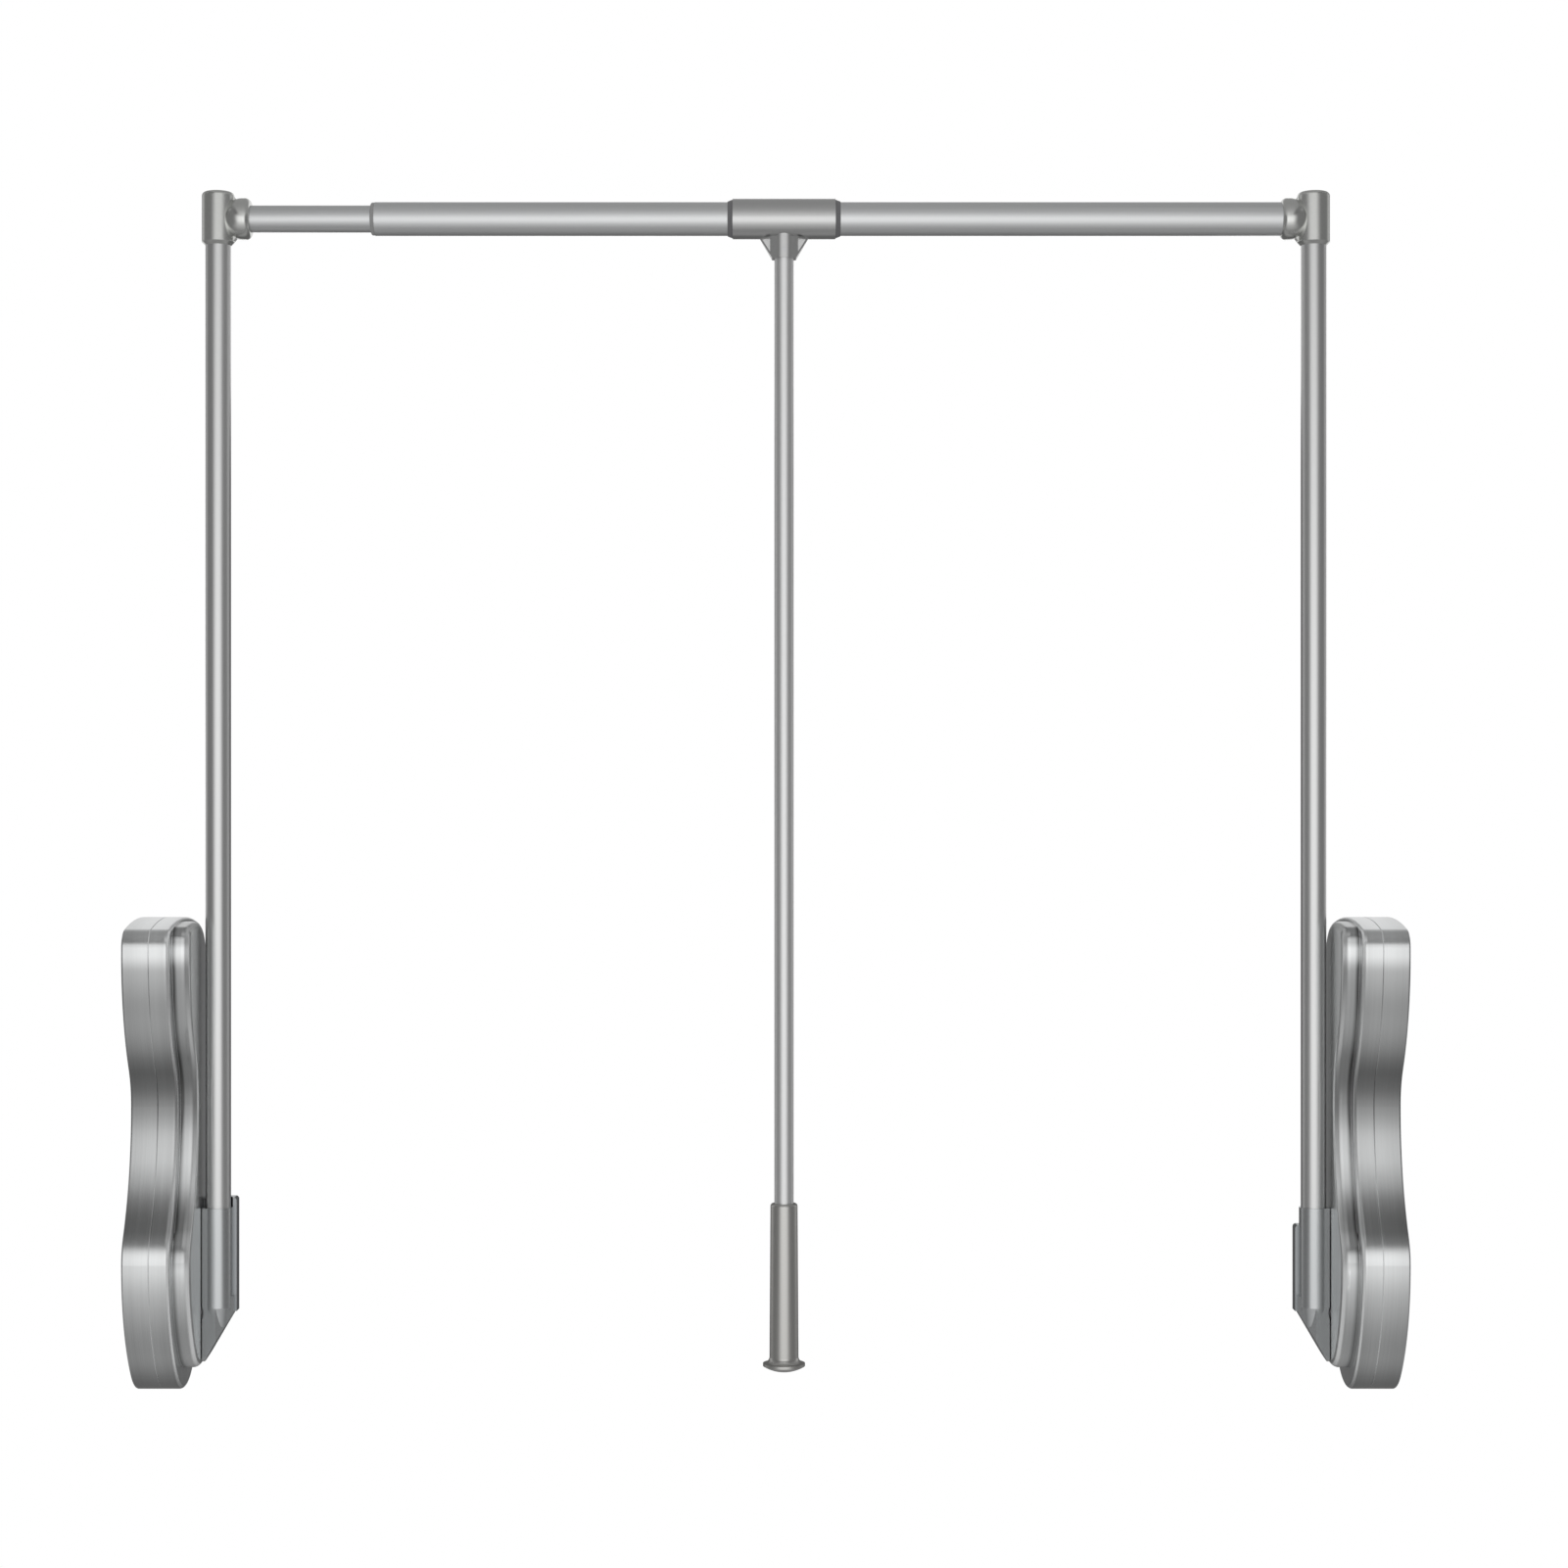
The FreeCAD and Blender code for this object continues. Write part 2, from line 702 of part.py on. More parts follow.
def bump_stop():
    top_z = rack_top_z - free_gap
    return box(
        (chassis_x, crosshead_front_y, top_z - bump_stop_height),
        (chassis_x + bump_stop_length, crosshead_front_y + bump_stop_depth, top_z),
    )


def past_the_slope():
    """The space beyond the sloped edge of the casting's foot and beyond its upright end."""
    point_x = plate_x - hub_point
    reach = hub_top_z - 2 * hub_low_z
    front_y = -2 * socket_radius
    corners = [
        Vector(point_x, front_y, 0),
        Vector(point_x, front_y, reach),
        Vector(plate_x + reach, front_y, reach),
        Vector(plate_x + reach, front_y, -reach),
        Vector(point_x - reach / hub_slope, front_y, -reach),
    ]
    return Part.Face(Part.makePolygon(corners + corners[:1])).extrude(Vector(0, -2 * front_y, 0))


def before_the_ridge():
    """The space in front of the two slanted planes that fall back from the ridge of the sleeve."""
    ridge_y = -socket_radius
    low_z = 2 * hub_low_z
    corners = [
        Vector(hub_x, ridge_y + (arm_x - hub_x) * flank_slant, low_z),
        Vector(arm_x, ridge_y, low_z),
        Vector(plate_x, ridge_y + (plate_x - arm_x) * tongue_slant, low_z),
        Vector(plate_x, 2 * ridge_y, low_z),
        Vector(hub_x, 2 * ridge_y, low_z),
    ]
    face = Part.Face(Part.makePolygon(corners + corners[:1]))
    return face.extrude(Vector(0, 0, 2 * socket_top_z - low_z))


def hub_tongue(grown):
    """The foot of the casting round the pivot: ridged in front, flat behind and rounded below."""
    front_y = -socket_radius
    back_y = hub_half_depth + grown
    round_y = (front_y + back_y) / 2
    round_radius = (back_y - front_y) / 2
    round_z = hub_low_z + round_radius
    slab = box((hub_x, front_y, round_z), (plate_x, back_y, hub_top_z + grown))
    round_end = bar_x(round_radius, hub_x, plate_x, round_y, round_z)
    return joined([slab, round_end]).cut([past_the_slope(), before_the_ridge()])


def shaft_bore():
    return bar_x(shaft_radius + press_gap, hub_x, hub_x + shaft_in_hub + running_gap)


def socket_flank():
    """Fills the sleeve out to the housing side, in one plane with the front of the tongue."""
    low = (hub_x, -socket_radius, hub_top_z)
    return box(low, (arm_x, plate_front_y - press_gap, socket_top_z)).cut(before_the_ridge())


def arm_socket():
    """A sleeve for the arm tube that tapers away in front of the tongue below it."""
    sleeve = bar_z(socket_radius, socket_foot_z, socket_top_z, arm_x)
    tip = Part.makeCone(
        socket_radius - socket_tip_taper,
        socket_radius,
        socket_tip_height,
        Vector(arm_x, 0, socket_foot_z - socket_tip_height),
    )
    casting = joined([sleeve, tip, socket_flank(), hub_tongue(0.0)]).cut(past_the_slope())
    bore = bar_z(arm_tube_radius + press_gap, socket_floor_z, socket_top_z, arm_x)
    pin = bar_y(hub_pin_radius + press_gap, hub_pin_front_y, socket_radius, hub_pin_x, 0.0)
    return casting.cut([bore, shaft_bore(), pin] + socket_screw_holes())


def socket_screw_holes():
    radius = socket_screw_radius + press_gap
    return [bar_y(radius, 0.0, plate_back_y, arm_x, z) for z in socket_screw_heights]


def socket_plate(top_z):
    """A backing plate with a half-round channel that holds the socket from behind."""
    plate = box((hub_x, plate_front_y, plate_foot_z), (plate_x, plate_back_y, top_z))
    top = [edge for edge in plate.Edges if edge.BoundBox.ZMin > top_z - plate_corner]
    across = [edge for edge in top if edge.BoundBox.YLength > plate_corner]
    plate = plate.makeFillet(plate_corner, across)
    channel = bar_z(socket_radius + press_gap, plate_foot_z, top_z, arm_x)
    return plate.cut([channel, hub_tongue(press_gap), shaft_bore()] + socket_screw_holes())


def socket_screws():
    screws = []
    head_end_y = plate_back_y + socket_screw_head_height
    for z in socket_screw_heights:
        shank = bar_y(socket_screw_radius, arm_tube_radius + running_gap, plate_back_y, arm_x, z)
        head = bar_y(socket_screw_head_radius, plate_back_y, head_end_y, arm_x, z)
        screws.append(joined([shank, head]))
    return Part.makeCompound(screws)


def hub_pin():
    """A pin driven in from behind, through the pivot shaft, that stops short of the front."""
    front_y = hub_pin_front_y + running_gap
    return bar_y(hub_pin_radius, front_y, hub_half_depth - free_gap, hub_pin_x, 0.0)


def arm_tube():
    top_z = elbow_top_z - elbow_cap
    return tube_z(arm_tube_radius, arm_tube_radius - arm_tube_wall, socket_floor_z, top_z, arm_x)


def elbow_web():
    """An upright web that fills the corners above and below the boss."""
    half = elbow_half_height - elbow_web_inset
    shoulder = half - elbow_web_fall
    outline = [
        (0.0, half),
        (elbow_web_reach - elbow_web_run, half),
        (elbow_web_reach, shoulder),
        (elbow_web_reach, -shoulder),
        (elbow_web_reach - elbow_web_run, -half),
        (0.0, -half),
    ]
    front_y = -elbow_web_thickness / 2
    corners = [Vector(arm_x + x, front_y, rod_z + z) for x, z in outline]
    face = Part.Face(Part.makePolygon(corners + corners[:1]))
    return face.extrude(Vector(0, elbow_web_thickness, 0))


def corner_elbow(rod_radius):
    """A post on the arm tube with a boss for the rod; the boss is round behind, like half a ball."""
    post = bar_z(elbow_radius, elbow_low_z, elbow_top_z, arm_x)
    top = [edge for edge in post.Edges if edge.BoundBox.ZMin > rod_z]
    post = post.makeFillet(elbow_round, top)
    foot = [edge for edge in post.Edges if edge.BoundBox.ZMax < elbow_low_z + same_place]
    post = post.makeChamfer(elbow_chamfer, foot)
    boss = bar_x(elbow_boss_radius, elbow_ball_x, elbow_end_x, 0.0, rod_z)
    boss = boss.makeFillet(elbow_mouth_round, edges_at_x(boss, elbow_end_x))
    half_ball = Part.makeSphere(elbow_boss_radius, Vector(elbow_ball_x, 0, rod_z), Vector(-1, 0, 0), 0, 90)
    body = joined([post, boss, half_ball, elbow_web()])
    arm_bore = bar_z(arm_tube_radius + press_gap, elbow_low_z, elbow_top_z - elbow_cap, arm_x)
    rod_bore = bar_x(rod_radius + press_gap, rod_start_x, elbow_end_x, 0.0, rod_z)
    return body.cut([arm_bore, rod_bore] + grubs(rod_radius, grub_radius + press_gap, 0.0))


def grubs(rod_radius, radius, sink):
    """One grub hole or screw onto the arm tube and one onto the rod, both from behind."""
    arm_grub_z = elbow_low_z + arm_grub_rise
    arm_grub = bar_y(radius, arm_tube_radius, elbow_radius - sink, arm_x, arm_grub_z)
    rod_grub = bar_y(radius, rod_radius, elbow_boss_radius - sink, elbow_ball_x, rod_z)
    return [arm_grub, rod_grub]


def elbow_screws(rod_radius):
    return Part.makeCompound(grubs(rod_radius, grub_radius, grub_sink))


def outer_rod():
    end_x = overall_width - rod_start_x
    return tube_x(outer_rod_radius, outer_rod_radius - rod_wall, outer_rod_start, end_x, rod_z)


def inner_rod():
    end_x = outer_rod_start + inner_rod_overlap
    return tube_x(inner_rod_radius, inner_rod_radius - rod_wall, rod_start_x, end_x, rod_z)


def rod_glide():
    bore = inner_rod_radius + running_gap
    barrel_radius = outer_rod_radius - rod_wall - press_gap
    lip_x = outer_rod_start - glide_lip
    barrel = tube_x(barrel_radius, bore, outer_rod_start, outer_rod_start + glide_length, rod_z)
    lip = tube_x(outer_rod_radius - glide_lip_inset, bore, lip_x, outer_rod_start, rod_z)
    rim = [edge for edge in edges_at_x(lip, lip_x) if edge.Curve.Radius > bore + same_place]
    lip = lip.makeFillet(min(glide_lip, outer_rod_radius - bore) / 2, rim)
    return joined([barrel, lip])


def rod_guide_plug():
    end_x = outer_rod_start + inner_rod_overlap
    head = bar_x(outer_rod_radius - rod_wall - running_gap, end_x, end_x + plug_head, 0.0, rod_z)
    spigot = bar_x(inner_rod_radius - rod_wall - press_gap, end_x - plug_spigot, end_x, 0.0, rod_z)
    return joined([head, spigot])


def gussets():
    """Two fins beside the boss, thick at the boss and thin outside, with a pocket in each face."""
    top_z = rod_z - sleeve_bore
    front = [
        Vector(-gusset_half, -gusset_root / 2, top_z),
        Vector(gusset_half, -gusset_root / 2, top_z),
        Vector(sleeve_boss_radius, -gusset_root / 2, sleeve_boss_z),
        Vector(-sleeve_boss_radius, -gusset_root / 2, sleeve_boss_z),
    ]
    outline = Part.Face(Part.makePolygon(front + front[:1])).extrude(Vector(0, gusset_root, 0))
    plan = []
    for side in (-1, 1):
        plan.append(Vector(side * gusset_half, -side * gusset_tip / 2, sleeve_boss_z))
        plan.append(Vector(side * gusset_half, side * gusset_tip / 2, sleeve_boss_z))
        plan.append(Vector(side * gusset_root_half, side * gusset_root / 2, sleeve_boss_z))
        plan.append(Vector(-side * gusset_root_half, side * gusset_root / 2, sleeve_boss_z))
    wedge = Part.Face(Part.makePolygon(plan + plan[:1])).extrude(Vector(0, 0, top_z - sleeve_boss_z))
    fins = outline.common(wedge).cut(gusset_pockets(top_z))
    fins.translate(Vector(sleeve_x, 0, 0))
    return fins


def gusset_pockets(top_z):
    """Three-cornered pockets that follow the edges of the fins, one in each face."""
    lean = (gusset_half - sleeve_boss_radius) / (top_z - sleeve_boss_z)
    inner_x = sleeve_boss_radius + gusset_pocket_rim
    pocket_z = rod_z - sleeve_radius - gusset_pocket_gap
    outer_x = gusset_half - gusset_pocket_rim - lean * (top_z - pocket_z)
    corners = [
        Vector(inner_x, gusset_pocket_floor, pocket_z),
        Vector(outer_x, gusset_pocket_floor, pocket_z),
        Vector(inner_x, gusset_pocket_floor, pocket_z - (outer_x - inner_x) / lean),
    ]
    rear = Part.Face(Part.makePolygon(corners + corners[:1])).extrude(Vector(0, gusset_root, 0))
    pair = [rear, rear.mirror(Vector(0, 0, 0), Vector(0, 1, 0))]
    return pair + [pocket.mirror(Vector(0, 0, 0), Vector(1, 0, 0)) for pocket in pair]


def t_sleeve():
    start_x = sleeve_x - sleeve_half
    end_x = sleeve_x + sleeve_half
    barrel = bar_x(sleeve_radius, start_x, end_x, 0.0, rod_z)
    boss = bar_z(sleeve_boss_radius, sleeve_boss_z, rod_z, sleeve_x)
    body = joined([barrel, boss, gussets()])
    bore = bar_x(sleeve_bore, start_x, end_x, 0.0, rod_z)
    socket = bar_z(handle_radius + press_gap, sleeve_boss_z, rod_z, sleeve_x)
    pin_z = sleeve_boss_z + handle_pin_rise
    pin = bar_y(handle_pin_radius + press_gap, -sleeve_boss_radius, sleeve_boss_radius, sleeve_x, pin_z)
    return body.cut([bore, socket, pin])


def sleeve_lip(inner, start_x, end_x):
    """A tapered end ring, wide at start_x and narrower at end_x."""
    wide = liner_radius + liner_lip_rise
    narrow = wide - liner_lip_taper
    low_x = min(start_x, end_x)
    high_x = max(start_x, end_x)
    low_radius, high_radius = (wide, narrow) if start_x < end_x else (narrow, wide)
    ring = Part.makeCone(low_radius, high_radius, high_x - low_x, Vector(low_x, 0, rod_z), Vector(1, 0, 0))
    return ring.cut(bar_x(inner, low_x, high_x, 0.0, rod_z))


def sleeve_liner():
    bore = outer_rod_radius + running_gap
    seat_x = sleeve_x - sleeve_half - running_gap
    end_x = sleeve_x + sleeve_half + running_gap + liner_lip / 2
    tube = tube_x(liner_radius, bore, seat_x, end_x, rod_z)
    return joined([tube, sleeve_lip(bore, seat_x, seat_x - liner_lip)])


def liner_ring():
    seat_x = sleeve_x + sleeve_half + running_gap
    ring = sleeve_lip(outer_rod_radius + running_gap, seat_x, seat_x + liner_lip)
    tube_end = bar_x(liner_radius + press_gap, seat_x, seat_x + liner_lip / 2, 0.0, rod_z)
    return ring.cut(tube_end)


def handle_tube():
    low_z = grip_low_z + grip_tube_gap
    tube = tube_z(handle_radius, handle_radius - handle_wall, low_z, handle_top_z, sleeve_x)
    pin_z = sleeve_boss_z + handle_pin_rise
    return tube.cut(bar_y(handle_pin_radius + press_gap, -handle_radius, handle_radius, sleeve_x, pin_z))


def handle_pin():
    pin_z = sleeve_boss_z + handle_pin_rise
    half = sleeve_boss_radius - free_gap
    return bar_y(handle_pin_radius, -half, half, sleeve_x, pin_z)


def handle_grip():
    """A slightly tapered moulding over the end of the tube, with a rounded shoulder."""
    bore = handle_radius + press_gap
    spigot = handle_radius - handle_wall - press_gap
    tube_z_low = grip_low_z + grip_tube_gap
    grip = turned_z(
        [
            (bore, grip_top_z),
            (grip_top_radius, grip_top_z),
            (grip_low_radius, grip_low_z),
            (spigot + press_gap, grip_low_z),
            (spigot + press_gap, tube_z_low),
            (bore, tube_z_low),
        ],
        sleeve_x,
    )
    top = [edge for edge in grip.Edges if edge.BoundBox.ZMin > grip_top_z - same_place]
    rim = max(top, key=lambda edge: edge.Curve.Radius)
    return grip.makeFillet(min(grip_shoulder, grip_top_radius - bore - grip_lip), [rim])


def grip_cap():
    """The end knob: a hollow flare below the grip, a thin rim, a bowl and a spigot up into the tube."""
    spigot = handle_radius - handle_wall - press_gap
    top_z = grip_low_z + knob_spigot
    rim_top = Vector(sleeve_x + knob_radius, 0, grip_low_z - knob_flare)
    rim_low = rim_top - Vector(0, 0, knob_rim)
    low = Vector(sleeve_x, 0, rim_low.z - knob_dome)
    sphere = (knob_radius ** 2 + knob_dome ** 2) / (2 * knob_dome)
    middle = math.asin(knob_radius / sphere) / 2
    on_dome = low + Vector(sphere * math.sin(middle), 0, sphere * (1 - math.cos(middle)))
    corners = [
        low,
        Vector(sleeve_x, 0, top_z),
        Vector(sleeve_x + spigot, 0, top_z),
        Vector(sleeve_x + spigot, 0, grip_low_z),
        Vector(sleeve_x + grip_low_radius, 0, grip_low_z),
    ]
    under_grip = corners[-1]
    across = rim_top - under_grip
    hollow = Vector(across.z, 0, -across.x).normalize() * knob_flare_hollow
    sides = [line(start, end) for start, end in zip(corners, corners[1:])]
    sides.append(Part.Arc(under_grip, under_grip + across * 0.5 + hollow, rim_top).toShape())
    sides.append(line(rim_top, rim_low))
    sides.append(Part.Arc(rim_low, on_dome, low).toShape())
    face = Part.Face(Part.Wire(sides))
    return face.revolve(Vector(sleeve_x, 0, 0), Vector(0, 0, 1), 360)


def left_half(plate_top_z, rod_radius):
    """Everything on one wall, arm and corner, on the left."""
    return {
        "wall_shell": wall_shell(),
        "room_shell": room_shell(),
        "shell_screws": shell_screws(),
        "raised_cover": raised_cover(),
        "chassis_plate": chassis_plate(),
        "pivot_shaft": pivot_shaft(),
        "pivot_bushes": pivot_bushes(),
        "shaft_clip": shaft_clip(),
        "pinion": pinion(),
        "gear_rack": gear_rack(),
        "crosshead": crosshead(),
        "lift_spring": lift_spring(),
        "spring_seat": spring_seat(),
        "spring_guide_rod": spring_guide_rod(),
        "damper_cylinder": damper_cylinder(),
        "damper_rod": damper_rod(),
        "bump_stop": bump_stop(),
        "arm_socket": arm_socket(),
        "socket_plate": socket_plate(plate_top_z),
        "socket_screws": socket_screws(),
        "hub_pin": hub_pin(),
        "arm_tube": arm_tube(),
        "corner_elbow": corner_elbow(rod_radius),
        "elbow_screws": elbow_screws(rod_radius),
    }


def on_the_right(shape):
    return shape.mirror(Vector(overall_width / 2, 0, 0), Vector(1, 0, 0))


pieces = {}
for name, shape in left_half(left_plate_top_z, inner_rod_radius).items():
    pieces["left_" + name] = shape
for name, shape in left_half(right_plate_top_z, outer_rod_radius).items():
    pieces["right_" + name] = on_the_right(shape)
pieces["outer_rod"] = outer_rod()
pieces["inner_rod"] = inner_rod()
pieces["rod_glide"] = rod_glide()
pieces["rod_guide_plug"] = rod_guide_plug()
pieces["t_sleeve"] = t_sleeve()
pieces["sleeve_liner"] = sleeve_liner()
pieces["liner_ring"] = liner_ring()
pieces["handle_tube"] = handle_tube()
pieces["handle_pin"] = handle_pin()
pieces["handle_grip"] = handle_grip()
pieces["grip_cap"] = grip_cap()

os.makedirs("parts", exist_ok=True)
for name, shape in pieces.items():
    shape.exportStep("parts/" + name + ".step")
    print(name, "solids", len(shape.Solids), "valid", shape.isValid(), "volume", round(shape.Volume, 1))
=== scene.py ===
# %% [markdown]
# A pull down closet rod, dressed for its picture.
# The measured model of every piece is loaded as a fixed frame. This file gives each piece its finish,
# rebuilds the small pieces whose fine form matters (screws and springs), and sets up a plain studio.

# %% Load the measured pieces
import json
import math
import bmesh
import bpy
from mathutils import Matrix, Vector


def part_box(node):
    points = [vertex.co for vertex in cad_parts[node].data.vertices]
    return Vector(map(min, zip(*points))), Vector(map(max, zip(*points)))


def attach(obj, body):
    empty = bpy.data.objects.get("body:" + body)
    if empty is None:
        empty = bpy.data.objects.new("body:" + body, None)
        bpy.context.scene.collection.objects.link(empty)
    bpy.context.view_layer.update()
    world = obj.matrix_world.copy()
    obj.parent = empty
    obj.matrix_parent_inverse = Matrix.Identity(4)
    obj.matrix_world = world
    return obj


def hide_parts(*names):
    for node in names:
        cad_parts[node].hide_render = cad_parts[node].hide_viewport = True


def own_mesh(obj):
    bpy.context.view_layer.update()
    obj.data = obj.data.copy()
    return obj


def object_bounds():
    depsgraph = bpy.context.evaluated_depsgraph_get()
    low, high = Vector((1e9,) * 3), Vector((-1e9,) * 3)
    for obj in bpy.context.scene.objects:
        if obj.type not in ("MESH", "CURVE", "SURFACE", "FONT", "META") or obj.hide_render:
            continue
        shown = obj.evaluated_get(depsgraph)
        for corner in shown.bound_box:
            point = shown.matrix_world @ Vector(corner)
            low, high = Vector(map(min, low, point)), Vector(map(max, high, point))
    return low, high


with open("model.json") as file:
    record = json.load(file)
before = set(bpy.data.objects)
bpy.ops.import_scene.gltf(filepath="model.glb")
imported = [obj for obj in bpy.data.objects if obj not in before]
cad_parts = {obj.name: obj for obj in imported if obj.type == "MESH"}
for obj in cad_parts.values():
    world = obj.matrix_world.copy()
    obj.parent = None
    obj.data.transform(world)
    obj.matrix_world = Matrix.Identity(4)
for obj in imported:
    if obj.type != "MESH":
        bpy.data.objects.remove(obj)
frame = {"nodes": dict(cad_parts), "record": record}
measured_low, measured_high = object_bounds()
scene = bpy.context.scene
nodes = frame["nodes"]
print("pieces", len(nodes), "size", [round(side, 3) for side in measured_high - measured_low])

# %% [markdown]
# Places. The lift is nearly symmetric, so the camera, the finish of its two housings and the studio
# are all set from its middle. The middle is read from the frame, because a number typed by hand would
# have to be changed with every new size.

# %% Places on the object
SIDES = ("left", "right")
middle_x = (measured_low.x + measured_high.x) / 2
print("middle", round(middle_x, 3))

# %% [markdown]
# The camera. The picture was taken square on, level with the middle of the object, from about two
# metres. A camera that stands level keeps the upright tubes parallel, so the framing is done with the
# focal length and a small sideways shift instead of by turning the camera.

# %% Camera
PICTURE_WIDTH = 1601
SENSOR_WIDTH = 36.0
FOCAL_PIXELS = 2993
CAMERA_DISTANCE = 2.2
CAMERA_HEIGHT = 0.396
PICTURE_SHIFT_PIXELS = 18.5

camera_data = bpy.data.cameras.new("picture_camera")
camera_data.sensor_width = SENSOR_WIDTH
camera_data.lens = SENSOR_WIDTH * FOCAL_PIXELS / PICTURE_WIDTH
camera_data.shift_x = PICTURE_SHIFT_PIXELS / PICTURE_WIDTH
camera = bpy.data.objects.new("picture_camera", camera_data)
camera.location = (middle_x, -CAMERA_DISTANCE, CAMERA_HEIGHT)
camera.rotation_euler = (math.radians(90), 0, 0)
scene.collection.objects.link(camera)
scene.camera = camera
scene.view_settings.view_transform = "Standard"
print("lens", round(camera_data.lens, 1), "mm")

# %% [markdown]
# Shader maths. A node tree is easier to read as a formula, so a small class wraps a socket and turns
# Python's operators into Math nodes. Any other node comes from one method, which sets the node's
# settings first and then fills or links its sockets.


# %% Sockets as values
class Value:
    """A socket that can be used in arithmetic."""

    def __init__(self, tree, socket):
        self.tree = tree
        self.socket = socket

    def __add__(self, other):
        return self.tree.math("ADD", self, other)

    def __radd__(self, other):
        return self.tree.math("ADD", other, self)

    def __sub__(self, other):
        return self.tree.math("SUBTRACT", self, other)

    def __rsub__(self, other):
        return self.tree.math("SUBTRACT", other, self)

    def __mul__(self, other):
        return self.tree.math("MULTIPLY", self, other)

    def __rmul__(self, other):
        return self.tree.math("MULTIPLY", other, self)

    def __gt__(self, other):
        return self.tree.math("GREATER_THAN", self, other)

    def __abs__(self):
        return self.tree.math("ABSOLUTE", self)


# %% [markdown]
# Node trees. The nodes that the finishes use most get a short method each: places, noise, mixed
# colours and soft steps. They could be placed by hand in the shader editor, but then no formula could
# be read here. A ramp's stops count as one of its settings.


# %% Node trees
def grey(level):
    return (level, level, level, 1)


def set_stops(elements, stops):
    """A ramp starts with two stops, so the missing ones are added before all are set."""
    while len(elements) < len(stops):
        elements.new(1.0)
    for element, (position, level) in zip(elements, stops):
        element.position = position
        element.color = grey(level)


class Tree:
    """A node tree with one way to add a node."""

    def __init__(self, node_tree):
        self.nodes = node_tree.nodes
        self.links = node_tree.links

    def node(self, kind, settings, inputs, output=0):
        made = self.nodes.new(kind)
        for name, value in settings.items():
            if name == "stops":
                set_stops(made.color_ramp.elements, value)
            else:
                setattr(made, name, value)
        for socket, value in inputs.items():
            self.plug(made.inputs[socket], value)
        return Value(self, made.outputs[output])

    def plug(self, socket, value):
        if isinstance(value, Value):
            self.links.new(value.socket, socket)
        else:
            socket.default_value = value

    def math(self, operation, first, second=0.0):
        return self.node("ShaderNodeMath", {"operation": operation}, {0: first, 1: second})

    def place(self):
        return self.node("ShaderNodeTexCoord", {}, {}, "Object")

    def part(self, vector, axis):
        """One part of a place or a direction: X, Y or Z."""
        return self.node("ShaderNodeSeparateXYZ", {}, {0: vector}, axis)

    def stretched(self, place, scale):
        return self.node("ShaderNodeVectorMath", {"operation": "MULTIPLY"}, {0: place, 1: scale})

    def noise(self, place, detail):
        return self.node("ShaderNodeTexNoise", {}, {"Vector": place, "Scale": 1.0, "Detail": detail})

    def even_noise(self, scale, detail):
        """Noise of the same grain in every direction, with about this many grains to the metre."""
        return self.noise(self.stretched(self.place(), (scale, scale, scale)), detail)

    def mixed(self, share, first, second):
        sockets = {"Factor": share, 6: first, 7: second}
        return self.node("ShaderNodeMix", {"data_type": "RGBA"}, sockets, 2)

    def smooth_step(self, value, start, end):
        """0 up to the start, 1 from the end on, and a soft change between them."""
        sockets = {"Value": value, "From Min": start, "From Max": end}
        return self.node("ShaderNodeMapRange", {"interpolation_type": "SMOOTHSTEP"}, sockets)


# %% [markdown]
# Finishes. Every surface here is metal, plastic or rubber, and one Principled shader can be all of
# them, so a finish is a node tree with that shader. The measured pieces keep their shapes: a finish
# is given to all pieces of a slot, or to pieces named one by one.

# %% Finishes
METAL = 1.0
NO_METAL = 0.0


class Finish(Tree):
    """A material whose surface is one Principled shader."""

    def __init__(self, name, metallic):
        self.material = bpy.data.materials.new(name)
        self.material.use_nodes = True
        super().__init__(self.material.node_tree)
        self.surface = self.nodes["Principled BSDF"]
        self.set("Metallic", metallic)

    def set(self, socket, value):
        self.plug(self.surface.inputs[socket], value)

    def bumpy(self, height, strength, depth):
        sockets = {"Height": height, "Strength": strength, "Distance": depth}
        self.set("Normal", self.node("ShaderNodeBump", {}, sockets))


def paint_pieces(names, material):
    """Gives the finish to measured pieces named one by one."""
    for name in names:
        materials = nodes[name].data.materials
        materials.clear()
        materials.append(material)
    print(material.name, "on", len(names), "pieces")


def paint_slot(slot, material):
    """Gives the finish to every measured piece of a slot."""
    rows = frame["record"]["subparts"]
    paint_pieces([row["node"] for row in rows if row["material_slot"] == slot], material)


# %% [markdown]
# Brushed housing shells. The real shells are metal brushed along their outline, so the scratches run
# up the narrow front band and over the top. Fine noise that changes fast across the band and slowly
# along it gives the scratches, and on the flat sides the fast direction is turned. A picture of
# scratches would need a map for each piece; noise in the object's own space needs none.


# %% Scratches
def brushing(finish, flat_side, across, along, detail):
    """Noise with so many scratches to the metre across the brushing and so few along it."""
    place = finish.place()
    on_band = finish.stretched(place, (across, along, along))
    on_side = finish.stretched(place, (along, across, along))
    return finish.noise(finish.mixed(flat_side, on_band, on_side), detail)
